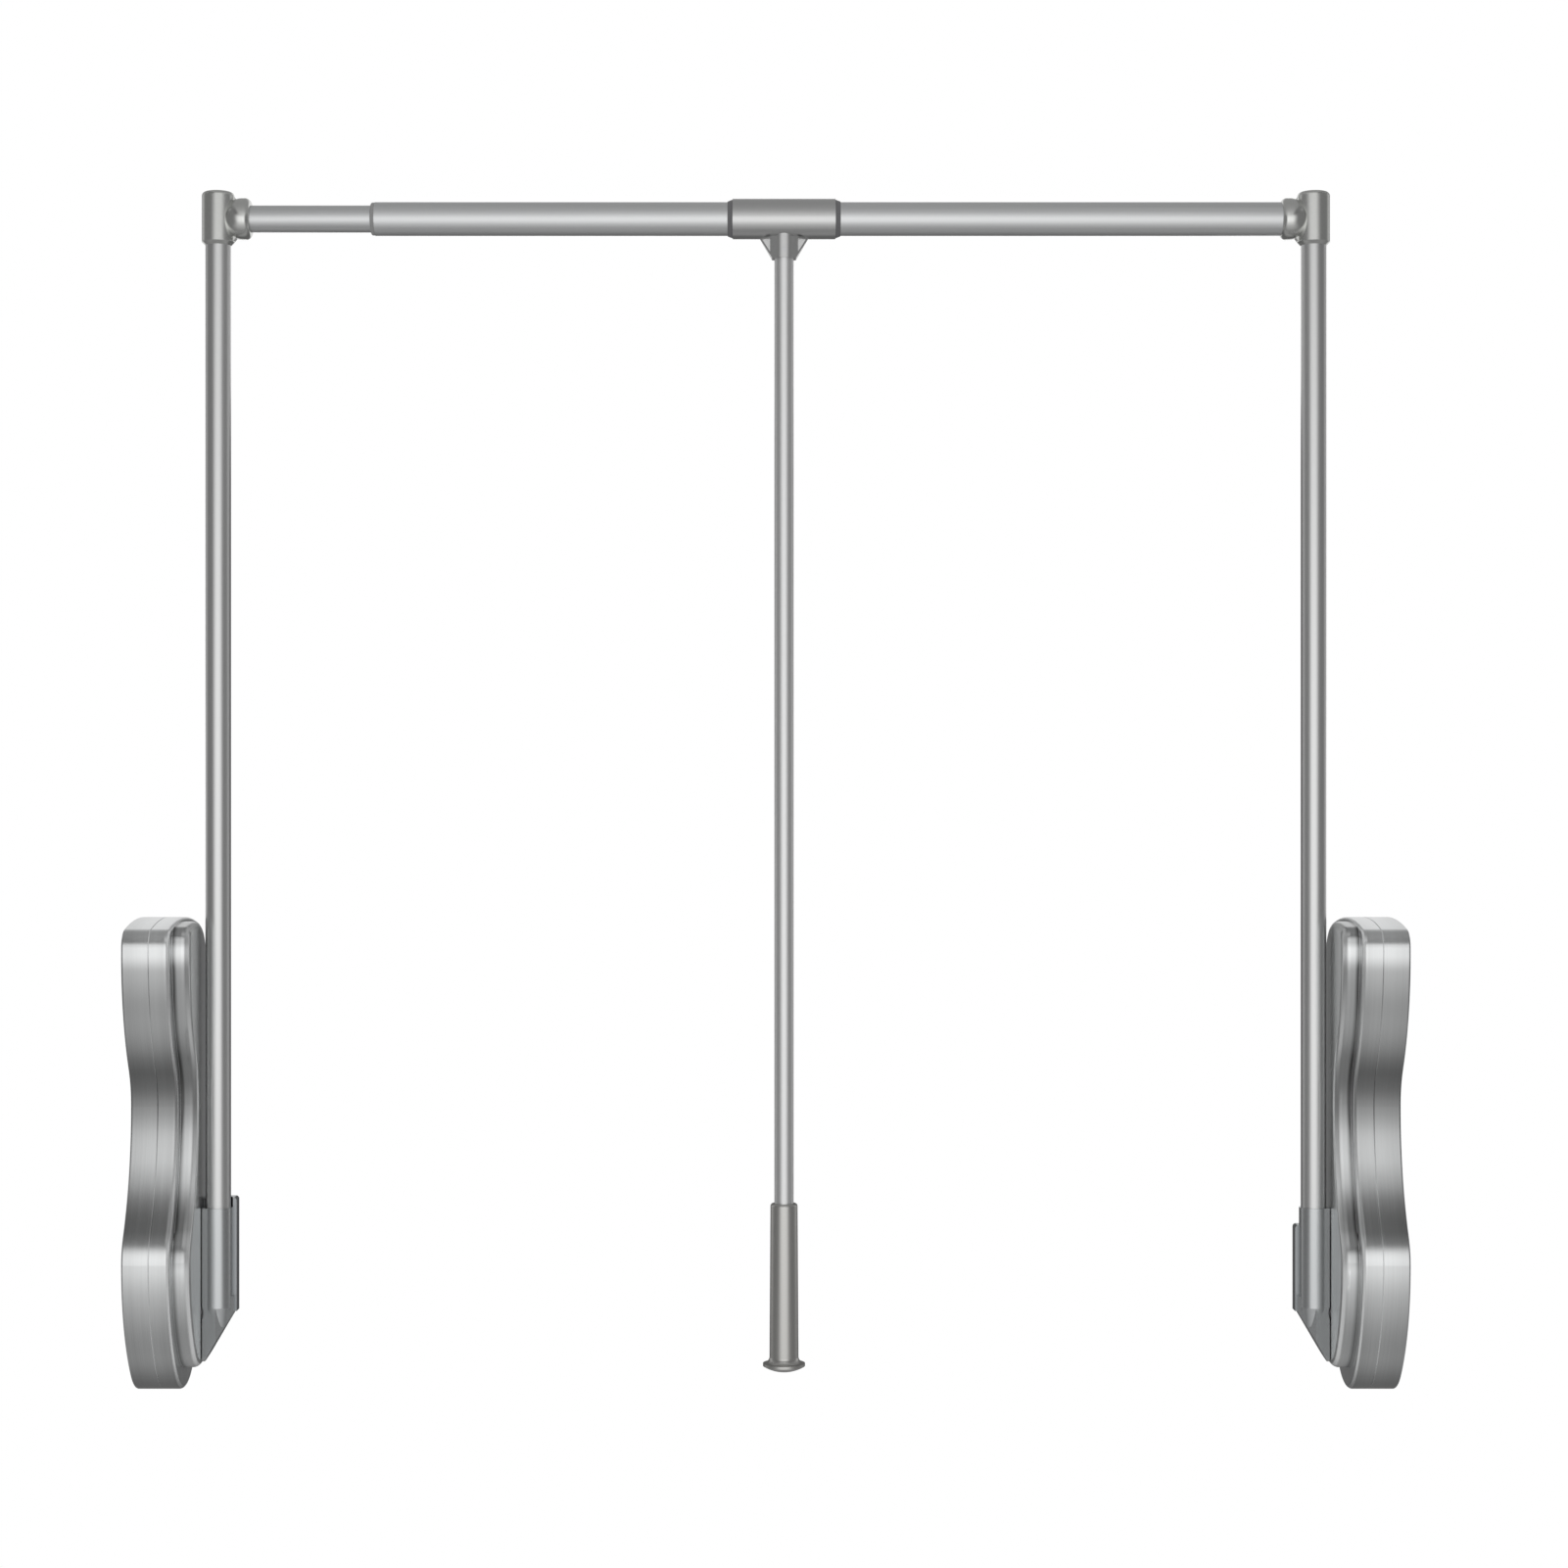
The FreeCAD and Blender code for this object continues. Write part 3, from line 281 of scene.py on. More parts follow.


# %% [markdown]
# Bands of painted shade. The neck, the hollow above the belly and the foot look darker than one even
# finish makes them, and so do stretches of the raised cover, so shade is painted into the base colour
# there in bands by height. They could be painted by hand on each piece, but bands by height serve both
# housings at once and are easy to change.

# %% Bands of painted shade
# Each band of painted shade: its share of shade, then the heights where it begins, is full,
# starts to fade and ends.
SHELL_PAINTED_SHADE_BANDS = {
    "neck": (0.78, 0.108, 0.163, 0.170, 0.226),
    "swell": (0.45, 0.198, 0.240, 0.258, 0.272),
    "below_neck": (0.12, 0.096, 0.112, 0.119, 0.140),
    "above_belly": (0.58, 0.055, 0.069, 0.073, 0.104),
    "foot": (0.85, -0.080, -0.060, -0.058, -0.024),
}
COVER_PAINTED_SHADE_BANDS = {
    "crown": (0.42, 0.2745, 0.281, 0.350, 0.360),
    "below_crown": (0.15, 0.232, 0.252, 0.262, 0.274),
    "belly": (0.36, 0.037, 0.050, 0.055, 0.066),
}


# Painted shade: the bands add up at each height, and the sum darkens the base colour.
def painted_shade_bands(finish, height, bands):
    shade = 0.0
    for most, begins, full, fades, ends in bands.values():
        band = finish.smooth_step(height, begins, full) - finish.smooth_step(height, fades, ends)
        shade = shade + most * band
    return shade


print("bands on the shells", len(SHELL_PAINTED_SHADE_BANDS), "on the covers", len(COVER_PAINTED_SHADE_BANDS))

# %% [markdown]
# The shells' finish puts this together. The scratches tilt the surface a little, which spreads each
# reflection into a soft bar, as brushing does. The rounded edges towards the room are made less
# metallic, so they show as a pale rim: a painted highlight. Painted shade makes the edges of the band a
# little darker than its middle and darkens the foot of the cover, down in the groove beside the shell.
# The right housing mirrors the left one, so places are measured from the nearer wall and one finish
# serves both.

# %% Brushed shell finish
FLAT_SIDE = 0.85
SCRATCHES_ACROSS = 1700.0
SCRATCHES_ALONG = 14.0
SCRATCH_DETAIL = 3.0
STREAKS_ACROSS = 330.0
STREAKS_ALONG = 5.0
STREAK_DETAIL = 2.0
SCRATCH_SHARE = 0.55
# The rims towards the room are made less metallic so that they read pale: a painted highlight.
RIM_START = 0.36
RIM_FULL = 0.62
RIM_METALLIC = 0.5
# Painted shade at the foot of the raised cover, down in the groove beside the shell.
GROOVE_FOOT = 0.0352
GROOVE_END = 0.039
GROOVE_SHADE = 0.55
# Painted shade, a little darker towards both edges of the band than in its middle.
EDGE_START = 0.003
EDGE_FULL = 0.017
EDGE_SHADE = 0.11
SHELL_DULL = (0.66, 0.67, 0.671, 1)
SHELL_BRIGHT = (0.876, 0.89, 0.891, 1)
# The dark colour that all painted shade on the shells mixes towards.
SHELL_SHADED = grey(0.1)
SHELL_ROUGHNESS = 0.24
SHELL_ROUGHNESS_RANGE = 0.14
STREAK_HEIGHT = 0.6
SCRATCH_BUMP = 0.1
SCRATCH_DEPTH = 0.0004
seam_from_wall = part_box("left_wall_shell")[1].x


def brushed_shell():
    finish = Finish("brushed_shell", METAL)
    facing_x = finish.part(finish.node("ShaderNodeTexCoord", {}, {}, "Normal"), "X")
    flat_side = abs(facing_x) > FLAT_SIDE
    scratch = brushing(finish, flat_side, SCRATCHES_ACROSS, SCRATCHES_ALONG, SCRATCH_DETAIL)
    streak = brushing(finish, flat_side, STREAKS_ACROSS, STREAKS_ALONG, STREAK_DETAIL)
    tone = SCRATCH_SHARE * scratch + (1 - SCRATCH_SHARE) * streak
    x, height = [finish.part(finish.place(), axis) for axis in "XZ"]
    from_wall = middle_x - abs(x - middle_x)
    on_cover = from_wall > GROOVE_FOOT
    # Painted shade in the groove where the cover meets the shell.
    painted_groove_shade = on_cover * (1 - finish.smooth_step(from_wall, GROOVE_FOOT, GROOVE_END))
    to_room = finish.math("SIGN", middle_x - x) * facing_x
    # Painted highlight: a pale, less metallic rim on the rounded edges towards the room.
    painted_rim_highlight = finish.smooth_step(to_room, RIM_START, RIM_FULL) * (1 - flat_side) * (1 - painted_groove_shade)
    # Painted shade towards the edges of the band, kept off the painted rim and the cover.
    painted_edge_shade = finish.smooth_step(abs(from_wall - seam_from_wall), EDGE_START, EDGE_FULL)
    painted_edge_shade = painted_edge_shade * (1 - on_cover) * (1 - painted_rim_highlight)
    # Painted shade in bands by height, with more bands on the raised cover.
    bands = painted_shade_bands(finish, height, SHELL_PAINTED_SHADE_BANDS)
    bands = bands + on_cover * painted_shade_bands(finish, height, COVER_PAINTED_SHADE_BANDS)
    shade = bands + GROOVE_SHADE * painted_groove_shade + EDGE_SHADE * painted_edge_shade * (1 - bands)
    brushed = finish.mixed(tone, SHELL_DULL, SHELL_BRIGHT)
    finish.set("Base Color", finish.mixed(shade * (1 - flat_side), brushed, SHELL_SHADED))
    finish.set("Metallic", 1 - (1 - RIM_METALLIC) * painted_rim_highlight)
    finish.set("Roughness", SHELL_ROUGHNESS + SHELL_ROUGHNESS_RANGE * tone)
    finish.bumpy(scratch + STREAK_HEIGHT * streak, SCRATCH_BUMP, SCRATCH_DEPTH)
    return finish.material


paint_slot("brushed_shell", brushed_shell())

# %% [markdown]
# Satin tubes. Drawn and anodised aluminium is smooth along the tube and has faint die lines. The
# lines follow the tube, so the upright and the level tubes each get the noise stretched their way. The
# rods and the handle are a little duller than the arms, which shows as wider, softer bright lines, and
# they get paler copies of the same metal, which is painted light. So one function takes the tone and
# the roughness of each.

# %% Satin tube finish
LEVEL_LINES = (3.0, 700.0, 700.0)
UPRIGHT_LINES = (700.0, 700.0, 3.0)
LINE_DETAIL = 2.0
TUBE_GRAINS = 2600.0
TUBE_GRAIN_DETAIL = 1.0
LINE_ROUGHNESS = 0.06
TUBE_GRAIN_ROUGHNESS = 0.04
TUBE_GRAIN_HEIGHT = 0.1
TUBE_BUMP = 0.05
TUBE_BUMP_DEPTH = 0.0003


def satin_tube(name, lines, roughness, dark, pale):
    finish = Finish(name, METAL)
    line = finish.noise(finish.stretched(finish.place(), lines), LINE_DETAIL)
    grain = finish.even_noise(TUBE_GRAINS, TUBE_GRAIN_DETAIL)
    finish.set("Base Color", finish.mixed(line, dark, pale))
    finish.set("Roughness", roughness + LINE_ROUGHNESS * line + TUBE_GRAIN_ROUGHNESS * grain)
    finish.bumpy(line + TUBE_GRAIN_HEIGHT * grain, TUBE_BUMP, TUBE_BUMP_DEPTH)
    return finish.material


# Painted light and shade: one metal in three tones, paler on the rods and the handle than on the arms.
arm_satin = satin_tube(
    "satin_arm", UPRIGHT_LINES, roughness=0.28,
    dark=(0.62, 0.623, 0.62, 1), pale=(0.72, 0.723, 0.72, 1),
)
rod_satin = satin_tube(
    "satin_rod", LEVEL_LINES, roughness=0.38,
    dark=(0.70, 0.708, 0.712, 1), pale=(0.80, 0.81, 0.814, 1),
)
handle_satin = satin_tube(
    "satin_handle", UPRIGHT_LINES, roughness=0.37,
    dark=(0.74, 0.742, 0.74, 1), pale=(0.84, 0.842, 0.84, 1),
)
paint_slot("satin_tube", arm_satin)
paint_pieces(["outer_rod", "inner_rod"], rod_satin)
paint_pieces(["handle_tube"], handle_satin)

# %% [markdown]
# Castings. The corner elbows and the sleeve are die cast and coated to match the tubes, so they have
# no lines, only the faint orange-peel of a sprayed coat. It could be a strong bump, but from here they
# look smooth, so it is mostly a small change of tone and gloss. The one coat comes in two copies: a
# lighter one on the elbows, which is painted light, and a darker one on the sleeve, which is painted
# shade. The arm sockets are a darker, bluer casting, and the plates behind them get a still darker
# copy of it, which is painted shade.

# %% Cast finishes
PEEL_GRAINS = 420.0
PEEL_DETAIL = 2.0
PEEL_ROUGHNESS = 0.04
CAST_GRAINS = 3200.0
CAST_GRAIN_DETAIL = 1.0
CAST_GRAIN_HEIGHT = 0.35
CAST_BUMP = 0.004
CAST_BUMP_DEPTH = 0.0004


def casting(name, roughness, dark, pale):
    finish = Finish(name, METAL)
    peel = finish.even_noise(PEEL_GRAINS, PEEL_DETAIL)
    grain = finish.even_noise(CAST_GRAINS, CAST_GRAIN_DETAIL)
    finish.set("Base Color", finish.mixed(peel, dark, pale))
    finish.set("Roughness", roughness + PEEL_ROUGHNESS * peel)
    finish.bumpy(peel + CAST_GRAIN_HEIGHT * grain, CAST_BUMP, CAST_BUMP_DEPTH)
    return finish.material


# One coat in two tones: the sleeve's darker copy is painted shade, the elbows' lighter copy painted
# light.
sleeve_casting = casting(
    "sleeve_casting", roughness=0.28, dark=(0.596, 0.598, 0.595, 1), pale=(0.624, 0.626, 0.622, 1)
)
elbow_casting = casting(
    "elbow_casting", roughness=0.22, dark=(0.65, 0.655, 0.638, 1), pale=(0.68, 0.685, 0.668, 1)
)
socket_casting = casting(
    "socket_casting", roughness=0.24, dark=(0.545, 0.56, 0.567, 1), pale=(0.565, 0.58, 0.587, 1)
)
# A darker copy of the socket casting for the plates behind the sockets: painted shade.
shaded_plate_casting = casting(
    "shaded_plate_casting", roughness=0.32, dark=(0.32, 0.335, 0.345, 1), pale=(0.34, 0.355, 0.365, 1)
)
paint_slot("satin_casting", sleeve_casting)
paint_slot("socket_casting", socket_casting)
paint_pieces([side + "_corner_elbow" for side in SIDES], elbow_casting)
paint_pieces([side + "_socket_plate" for side in SIDES], shaded_plate_casting)

# %% [markdown]
# Plastics, rubber and small metal. The grip is a tube of plastic with a metallic coat, a little
# warmer and darker than the tubes. The liner of the sleeve and the glides are plain dark plastic. All
# of them share one fine, even texture, so one function with a few numbers makes them.

# %% Grip, plastic and hardware finishes
TEXTURE_GRAINS = 1500.0
TEXTURE_DETAIL = 3.0
TEXTURE_ROUGHNESS = 0.12
TEXTURE_BUMP = 0.04
TEXTURE_DEPTH = 0.0003


def textured(name, metallic, roughness, dark, pale):
    finish = Finish(name, metallic)
    texture = finish.even_noise(TEXTURE_GRAINS, TEXTURE_DETAIL)
    finish.set("Base Color", finish.mixed(texture, dark, pale))
    finish.set("Roughness", roughness + TEXTURE_ROUGHNESS * texture)
    finish.bumpy(texture, TEXTURE_BUMP, TEXTURE_DEPTH)
    return finish.material


grip_coat = textured(
    "grip_coat", METAL, roughness=0.25, dark=(0.525, 0.52, 0.502, 1), pale=(0.595, 0.59, 0.57, 1)
)
liner_plastic = textured(
    "liner_plastic", NO_METAL, roughness=0.4, dark=(0.085, 0.085, 0.09, 1), pale=(0.14, 0.14, 0.145, 1)
)
nylon = textured("nylon", NO_METAL, roughness=0.42, dark=grey(0.2), pale=grey(0.26))
rubber_stop = textured("rubber_stop", NO_METAL, roughness=0.7, dark=grey(0.02), pale=grey(0.04))
zinc_steel = textured(
    "zinc_steel", METAL, roughness=0.26, dark=(0.55, 0.55, 0.56, 1), pale=(0.66, 0.66, 0.67, 1)
)
bronze_bush = textured(
    "bronze_bush", METAL, roughness=0.4, dark=(0.5, 0.36, 0.16, 1), pale=(0.62, 0.46, 0.22, 1)
)
paint_slot("grip_plastic", grip_coat)
paint_slot("liner_plastic", liner_plastic)
paint_slot("nylon", nylon)
paint_slot("rubber_stop", rubber_stop)
paint_slot("steel", zinc_steel)
paint_slot("bronze_bush", bronze_bush)

# %% [markdown]
# Small hardware. The measured screws are plain cylinders, so they are rebuilt with what makes a screw
# readable: pan heads with a cross recess in the housings, button heads with a hexagon behind the
# sockets, and headless set screws in the elbows. A screw is a stack of rings from its tip to the floor
# of its recess, and a ring's radius may change with the angle, which is all that a recess needs. A
# Boolean could cut the recess too, but rings give clean faces.

# %% Rings
MM = 0.001
RING_POINTS = 48
NEVER_ZERO = 1e-6


def round_ring(radius):
    return lambda angle: radius


def hexagon_ring(half_flats):
    """A hexagon, half_flats from its middle to each side."""
    sixth = math.pi / 3
    return lambda angle: half_flats / math.cos((angle + sixth / 2) % sixth - sixth / 2)


def cross_ring(reach, half_width):
    """Two crossed bars; the bar that reaches further at an angle gives the radius."""

    def radius(angle):
        along = max(abs(math.cos(angle)), NEVER_ZERO)
        across = max(abs(math.sin(angle)), NEVER_ZERO)
        level_bar = min(reach / along, half_width / across)
        upright_bar = min(half_width / along, reach / across)
        return max(level_bar, upright_bar)

    return radius


def add_screw(shape, rings, foot, axis):
    """Stacks the rings, given in millimetres, from the foot along the axis and closes both ends."""
    along = Vector(axis)
    across = along.orthogonal().normalized()
    aside = along.cross(across)
    loops = []
    for ring, height in rings:
        loop = []
        for step in range(RING_POINTS):
            angle = math.tau * step / RING_POINTS
            outward = across * math.cos(angle) + aside * math.sin(angle)
            loop.append(shape.verts.new(foot + MM * (along * height + outward * ring(angle))))
        loops.append(loop)
    for lower, upper in zip(loops, loops[1:]):
        for i in range(RING_POINTS):
            shape.faces.new((lower[i - 1], lower[i], upper[i], upper[i - 1]))
    shape.faces.new(loops[0][::-1])
    shape.faces.new(loops[-1])


# %% [markdown]
# A rebuilt piece takes the place of a measured node: it rides on the same body and keeps the slot, so
# the lift still moves as measured. Edges sharper than a soft bend stay crisp.

# %% Pieces in place of measured ones
SMOOTH_UP_TO = math.radians(35)


def stand_in(name, node, body, fill):
    """A new steel piece in place of a measured node; fill adds its faces to an empty mesh."""
    shape = bmesh.new()
    fill(shape)
    bmesh.ops.recalc_face_normals(shape, faces=shape.faces)
    mesh = bpy.data.meshes.new(name)
    shape.to_mesh(mesh)
    shape.free()
    mesh.shade_smooth()
    mesh.set_sharp_from_angle(angle=SMOOTH_UP_TO)
    mesh.materials.append(zinc_steel)
    piece = bpy.data.objects.new(name, mesh)
    scene.collection.objects.link(piece)
    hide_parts(node)
    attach(piece, body)
    print(name, "faces", len(mesh.polygons), "on", body)
    return piece


# %% [markdown]
# The forms of the screws, in millimetres. A head is a dome over a short straight side, and its recess
# goes down from the top: a cross that narrows, or a hexagon with straight walls.

# %% Forms of the screws
PAN_RADIUS = 4.1
PAN_HEIGHT = 3.0
PAN_SHANK_RADIUS = 2.0
PAN_TIP_SHARE = 0.45
PAN_TIP_LENGTH = 1.2
CROSS_REACH = 2.2
CROSS_HALF_WIDTH = 0.5
CROSS_FLOOR_REACH = 1.5
CROSS_FLOOR_HALF_WIDTH = 0.36
CROSS_DEPTH = 1.6
BUTTON_RADIUS = 3.4
BUTTON_HEIGHT = 2.2
BUTTON_SHANK_RADIUS = 1.8
BUTTON_HEXAGON = 1.25
BUTTON_HEXAGON_DEPTH = 1.3
SET_RADIUS = 2.0
SET_TIP_SHARE = 0.6
SET_TIP_LENGTH = 0.5
SET_CHAMFER = 0.25
SET_HEXAGON = 1.0
SET_HEXAGON_DEPTH = 1.2
# A head from below to its top: shares of its radius, each with a share of its height.
PAN_DOME = ((1.0, 0.0), (1.0, 0.4), (0.94, 0.67), (0.82, 0.85), (0.62, 0.96))
BUTTON_DOME = ((1.0, 0.0), (1.0, 0.2), (0.93, 0.5), (0.8, 0.76), (0.6, 0.94))


def head_rings(dome, radius, under, height):
    return [(round_ring(share * radius), under + rise * height) for share, rise in dome]


def pan_rings(length):
    under = length - PAN_HEIGHT
    return [
        (round_ring(PAN_TIP_SHARE * PAN_SHANK_RADIUS), 0.0),
        (round_ring(PAN_SHANK_RADIUS), PAN_TIP_LENGTH),
        (round_ring(PAN_SHANK_RADIUS), under),
        *head_rings(PAN_DOME, PAN_RADIUS, under, PAN_HEIGHT),
        (cross_ring(CROSS_REACH, CROSS_HALF_WIDTH), length),
        (cross_ring(CROSS_FLOOR_REACH, CROSS_FLOOR_HALF_WIDTH), length - CROSS_DEPTH),
    ]


def button_rings(length):
    under = length - BUTTON_HEIGHT
    return [
        (round_ring(BUTTON_SHANK_RADIUS), 0.0),
        (round_ring(BUTTON_SHANK_RADIUS), under),
        *head_rings(BUTTON_DOME, BUTTON_RADIUS, under, BUTTON_HEIGHT),
        (hexagon_ring(BUTTON_HEXAGON), length),
        (hexagon_ring(BUTTON_HEXAGON), length - BUTTON_HEXAGON_DEPTH),
    ]


def set_rings(length):
    return [
        (round_ring(SET_TIP_SHARE * SET_RADIUS), 0.0),
        (round_ring(SET_RADIUS), SET_TIP_LENGTH),
        (round_ring(SET_RADIUS), length - SET_CHAMFER),
        (round_ring(SET_RADIUS - SET_CHAMFER), length),
        (hexagon_ring(SET_HEXAGON), length),
        (hexagon_ring(SET_HEXAGON), length - SET_HEXAGON_DEPTH),
    ]


print("rings of a pan head screw", len(pan_rings(PAN_HEIGHT)))

# %% [markdown]
# Where the screws go is read from the boxes of the pieces that they replace, so each one fills its
# measured hole.

# %% Housing, socket and elbow screws
SET_SINK = 0.4


def shell_screws(side):
    low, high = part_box(side + "_shell_screws")
    foot_x, axis_x = (low.x, 1) if side == "left" else (high.x, -1)
    rings = pan_rings((high.x - low.x) / MM)

    def fill(shape):
        for y in (low.y + PAN_RADIUS * MM, high.y - PAN_RADIUS * MM):
            for z in (low.z + PAN_RADIUS * MM, high.z - PAN_RADIUS * MM):
                add_screw(shape, rings, Vector((foot_x, y, z)), (axis_x, 0, 0))

    stand_in(side + "_cross_screws", side + "_shell_screws", side + "_housing", fill)


def socket_screws(side):
    low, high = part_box(side + "_socket_screws")
    x = (low.x + high.x) / 2
    rings = button_rings((high.y - low.y) / MM)

    def fill(shape):
        for z in (low.z + BUTTON_RADIUS * MM, high.z - BUTTON_RADIUS * MM):
            add_screw(shape, rings, Vector((x, low.y, z)), (0, 1, 0))

    stand_in(side + "_button_screws", side + "_socket_screws", side + "_arm", fill)


def elbow_screws(side, rod):
    """One set screw holds the arm tube, the other one the rod."""
    low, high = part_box(side + "_elbow_screws")
    arm_low, arm_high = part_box(side + "_arm_tube")
    post_low, post_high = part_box(side + "_corner_elbow")
    held_low, held_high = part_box(rod)
    arm_x = (arm_low.x + arm_high.x) / 2
    post_radius = min(arm_x - post_low.x, post_high.x - arm_x)
    rod_radius = (held_high.z - held_low.z) / 2
    rod_x = high.x - SET_RADIUS * MM if side == "left" else low.x + SET_RADIUS * MM
    arm_screw_z = low.z + SET_RADIUS * MM
    rod_screw_z = high.z - SET_RADIUS * MM

    def fill(shape):
        arm_length = (post_radius - low.y) / MM - SET_SINK
        add_screw(shape, set_rings(arm_length), Vector((arm_x, low.y, arm_screw_z)), (0, 1, 0))
        rod_length = (high.y - rod_radius) / MM
        add_screw(shape, set_rings(rod_length), Vector((rod_x, rod_radius, rod_screw_z)), (0, 1, 0))

    stand_in(side + "_set_screws", side + "_elbow_screws", side + "_arm", fill)


for side in SIDES:
    shell_screws(side)
    socket_screws(side)
elbow_screws("left", "inner_rod")
elbow_screws("right", "outer_rod")

# %% [markdown]
# Lift springs. A compression spring has closed ends: its first and last turns lie against each other
# and are ground flat, so that it stands square on its seat. The wire follows a helix whose pitch is
# small at both ends and even between them. A Screw modifier winds an even pitch only, so the turns are
# worked out step by step. The spring keeps its measured length here; on the real lift it shortens
# towards its upper seat as the rack rises.

# %% Lift springs
WIRE_RADIUS = 1.5
SPRING_TURNS = 15
CLOSED_TURNS = 1.25
CLOSED_PITCH = 1.05
GROUND_SHARE = 0.6
STEPS_PER_TURN = 40
WIRE_POINTS = 10


def wire_height(turn, length):
    """Height of the wire's middle after a number of turns, in millimetres."""
    first = GROUND_SHARE * WIRE_RADIUS
    closed = CLOSED_TURNS * CLOSED_PITCH * 2 * WIRE_RADIUS
    if turn < CLOSED_TURNS:
        return first + closed * turn / CLOSED_TURNS
    if turn > SPRING_TURNS / 2:
        return length - wire_height(SPRING_TURNS - turn, length)
    open_turns = SPRING_TURNS - 2 * CLOSED_TURNS
    return first + closed + (length - 2 * (first + closed)) * (turn - CLOSED_TURNS) / open_turns


def lift_spring(side):
    low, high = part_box(side + "_lift_spring")
    guide_low, guide_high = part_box(side + "_spring_guide_rod")
    foot = Vector(((guide_low.x + guide_high.x) / 2, (guide_low.y + guide_high.y) / 2, low.z))
    length = (high.z - low.z) / MM
    coil_radius = (high.x - low.x) / MM / 2 - WIRE_RADIUS

    def fill(shape):
        rings = []
        for step in range(SPRING_TURNS * STEPS_PER_TURN + 1):
            turn = step / STEPS_PER_TURN
            outward = Vector((math.cos(math.tau * turn), math.sin(math.tau * turn), 0))
            ring = []
            for point in range(WIRE_POINTS):
                angle = math.tau * point / WIRE_POINTS
                reach = coil_radius + WIRE_RADIUS * math.cos(angle)
                height = wire_height(turn, length) + WIRE_RADIUS * math.sin(angle)
                height = min(max(height, 0.0), length)
                ring.append(shape.verts.new(foot + MM * (outward * reach + Vector((0, 0, height)))))
            rings.append(ring)
        for this, following in zip(rings, rings[1:]):
            for i in range(WIRE_POINTS):
                shape.faces.new((this[i - 1], this[i], following[i], following[i - 1]))
        shape.faces.new(rings[0])
        shape.faces.new(rings[-1][::-1])

    spring = stand_in(side + "_coil_spring", side + "_lift_spring", side + "_housing", fill)
    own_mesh(spring)


for side in SIDES:
    lift_spring(side)

# %% [markdown]
# The studio. Metal shows what stands round it, so the object hangs in a light tent made of glowing
# sheets. They show only in reflections: the camera looks straight through them, and they throw no
# light on dull surfaces, so each sheet can be as bright or dark as its reflection needs.

# %% Glowing sheets
FLOOR_Z = -0.62
TENT_CENTRE_Z = 0.15
BAR_GLOW = 1.3


def glowing(name):
    """A finish that only glows; its Emission Color is a share of the brightest glow."""
    finish = Finish(name, NO_METAL)
    finish.set("Base Color", grey(0.0))
    finish.set("Specular IOR Level", 0.0)
    finish.set("Emission Strength", BAR_GLOW)
    return finish


def glow_share(level):
    return grey(level / BAR_GLOW)


def even_glow(name, level):
    finish = glowing(name)
    finish.set("Emission Color", glow_share(level))
    return finish.material


def fading_glow(name, front_y, front_level, back_y, back_level):
    """A glow that goes from one level at front_y to another at back_y."""
    finish = glowing(name)
    behind = finish.smooth_step(finish.part(finish.place(), "Y"), front_y, back_y)
    finish.set("Emission Color", finish.mixed(behind, glow_share(front_level), glow_share(back_level)))
    return finish.material


def reflected_sheet(name, points, faces, material):
    """A sheet that shows only in reflections; its points are counted from the tent's centre."""
    mesh = bpy.data.meshes.new(name)
    mesh.from_pydata(points, [], faces)
    mesh.materials.append(material)
    piece = bpy.data.objects.new(name, mesh)
    piece.location = (middle_x, 0, TENT_CENTRE_Z)
    piece.visible_camera = False
    piece.visible_diffuse = False
    piece.visible_shadow = False
    scene.collection.objects.link(piece)
    print(name, "faces", len(faces))


def reflected_card(name, corners, material):
    reflected_sheet(name, corners, [(0, 1, 2, 3)], material)


# %% [markdown]
# The light of the tent. What counts is how bright it is at each angle seen from the object: dim below,
# rising to a bright bar level with the camera, then a dark gap, a dull canopy and a paler back. Lamps
# could do part of this, but round metal shows the shape of each lamp, and a list of levels can be as
# soft as the real light was.

# %% Levels of light
# Degrees above the level line to the front, each with the glow there.
GLOW_BY_ANGLE = (
    (-170, 0.10),
    (-152, 0.10),
    (-130, 0.34),
    (-96, 0.34),
    (-84, 0.30),
    (-66, 0.27),
    (-58, 0.30),
    (-50, 0.40),
    (-32, 0.53),
    (-24, 0.68),
    (-16, 0.98),
    (-8, 1.25),
    (0, 1.30),
    (16, 1.25),
    (23, 0.90),
    (29, 0.46),
    (35, 0.10),
    (58, 0.09),
    (70, 0.25),
    (125, 0.40),
    (140, 0.95),
    (172, 0.95),
)
LOW_ANGLE = GLOW_BY_ANGLE[0][0]
ANGLE_RANGE = GLOW_BY_ANGLE[-1][0] - LOW_ANGLE
print("levels of light", len(GLOW_BY_ANGLE), "over", ANGLE_RANGE, "degrees")

# %% [markdown]
# The tent is one sheet bent round the object from below, up the front and over the top, and its ramp
# holds those levels. Towards its two ends the bar fades to grey, which draws the dark edges of the
# upright tubes.

# %% Light tent
TENT_RADIUS = 2.6
TENT_FLOOR_GAP = 0.02
TENT_HALF_WIDTH = 3.0
TENT_STRIPS = 90
BAR_HALF_START = 0.7
BAR_HALF_END = 2.6
SIDE_GLOW = 0.22


def tent_point(angle, x):
    """A point of the sheet at an angle above the level line; low down it lies on the floor."""
    distance = TENT_RADIUS
    if -180 < angle < 0:
        drop = TENT_CENTRE_Z - FLOOR_Z - TENT_FLOOR_GAP
        distance = min(distance, drop / math.sin(math.radians(-angle)))
    return (x, -distance * math.cos(math.radians(angle)), distance * math.sin(math.radians(angle)))


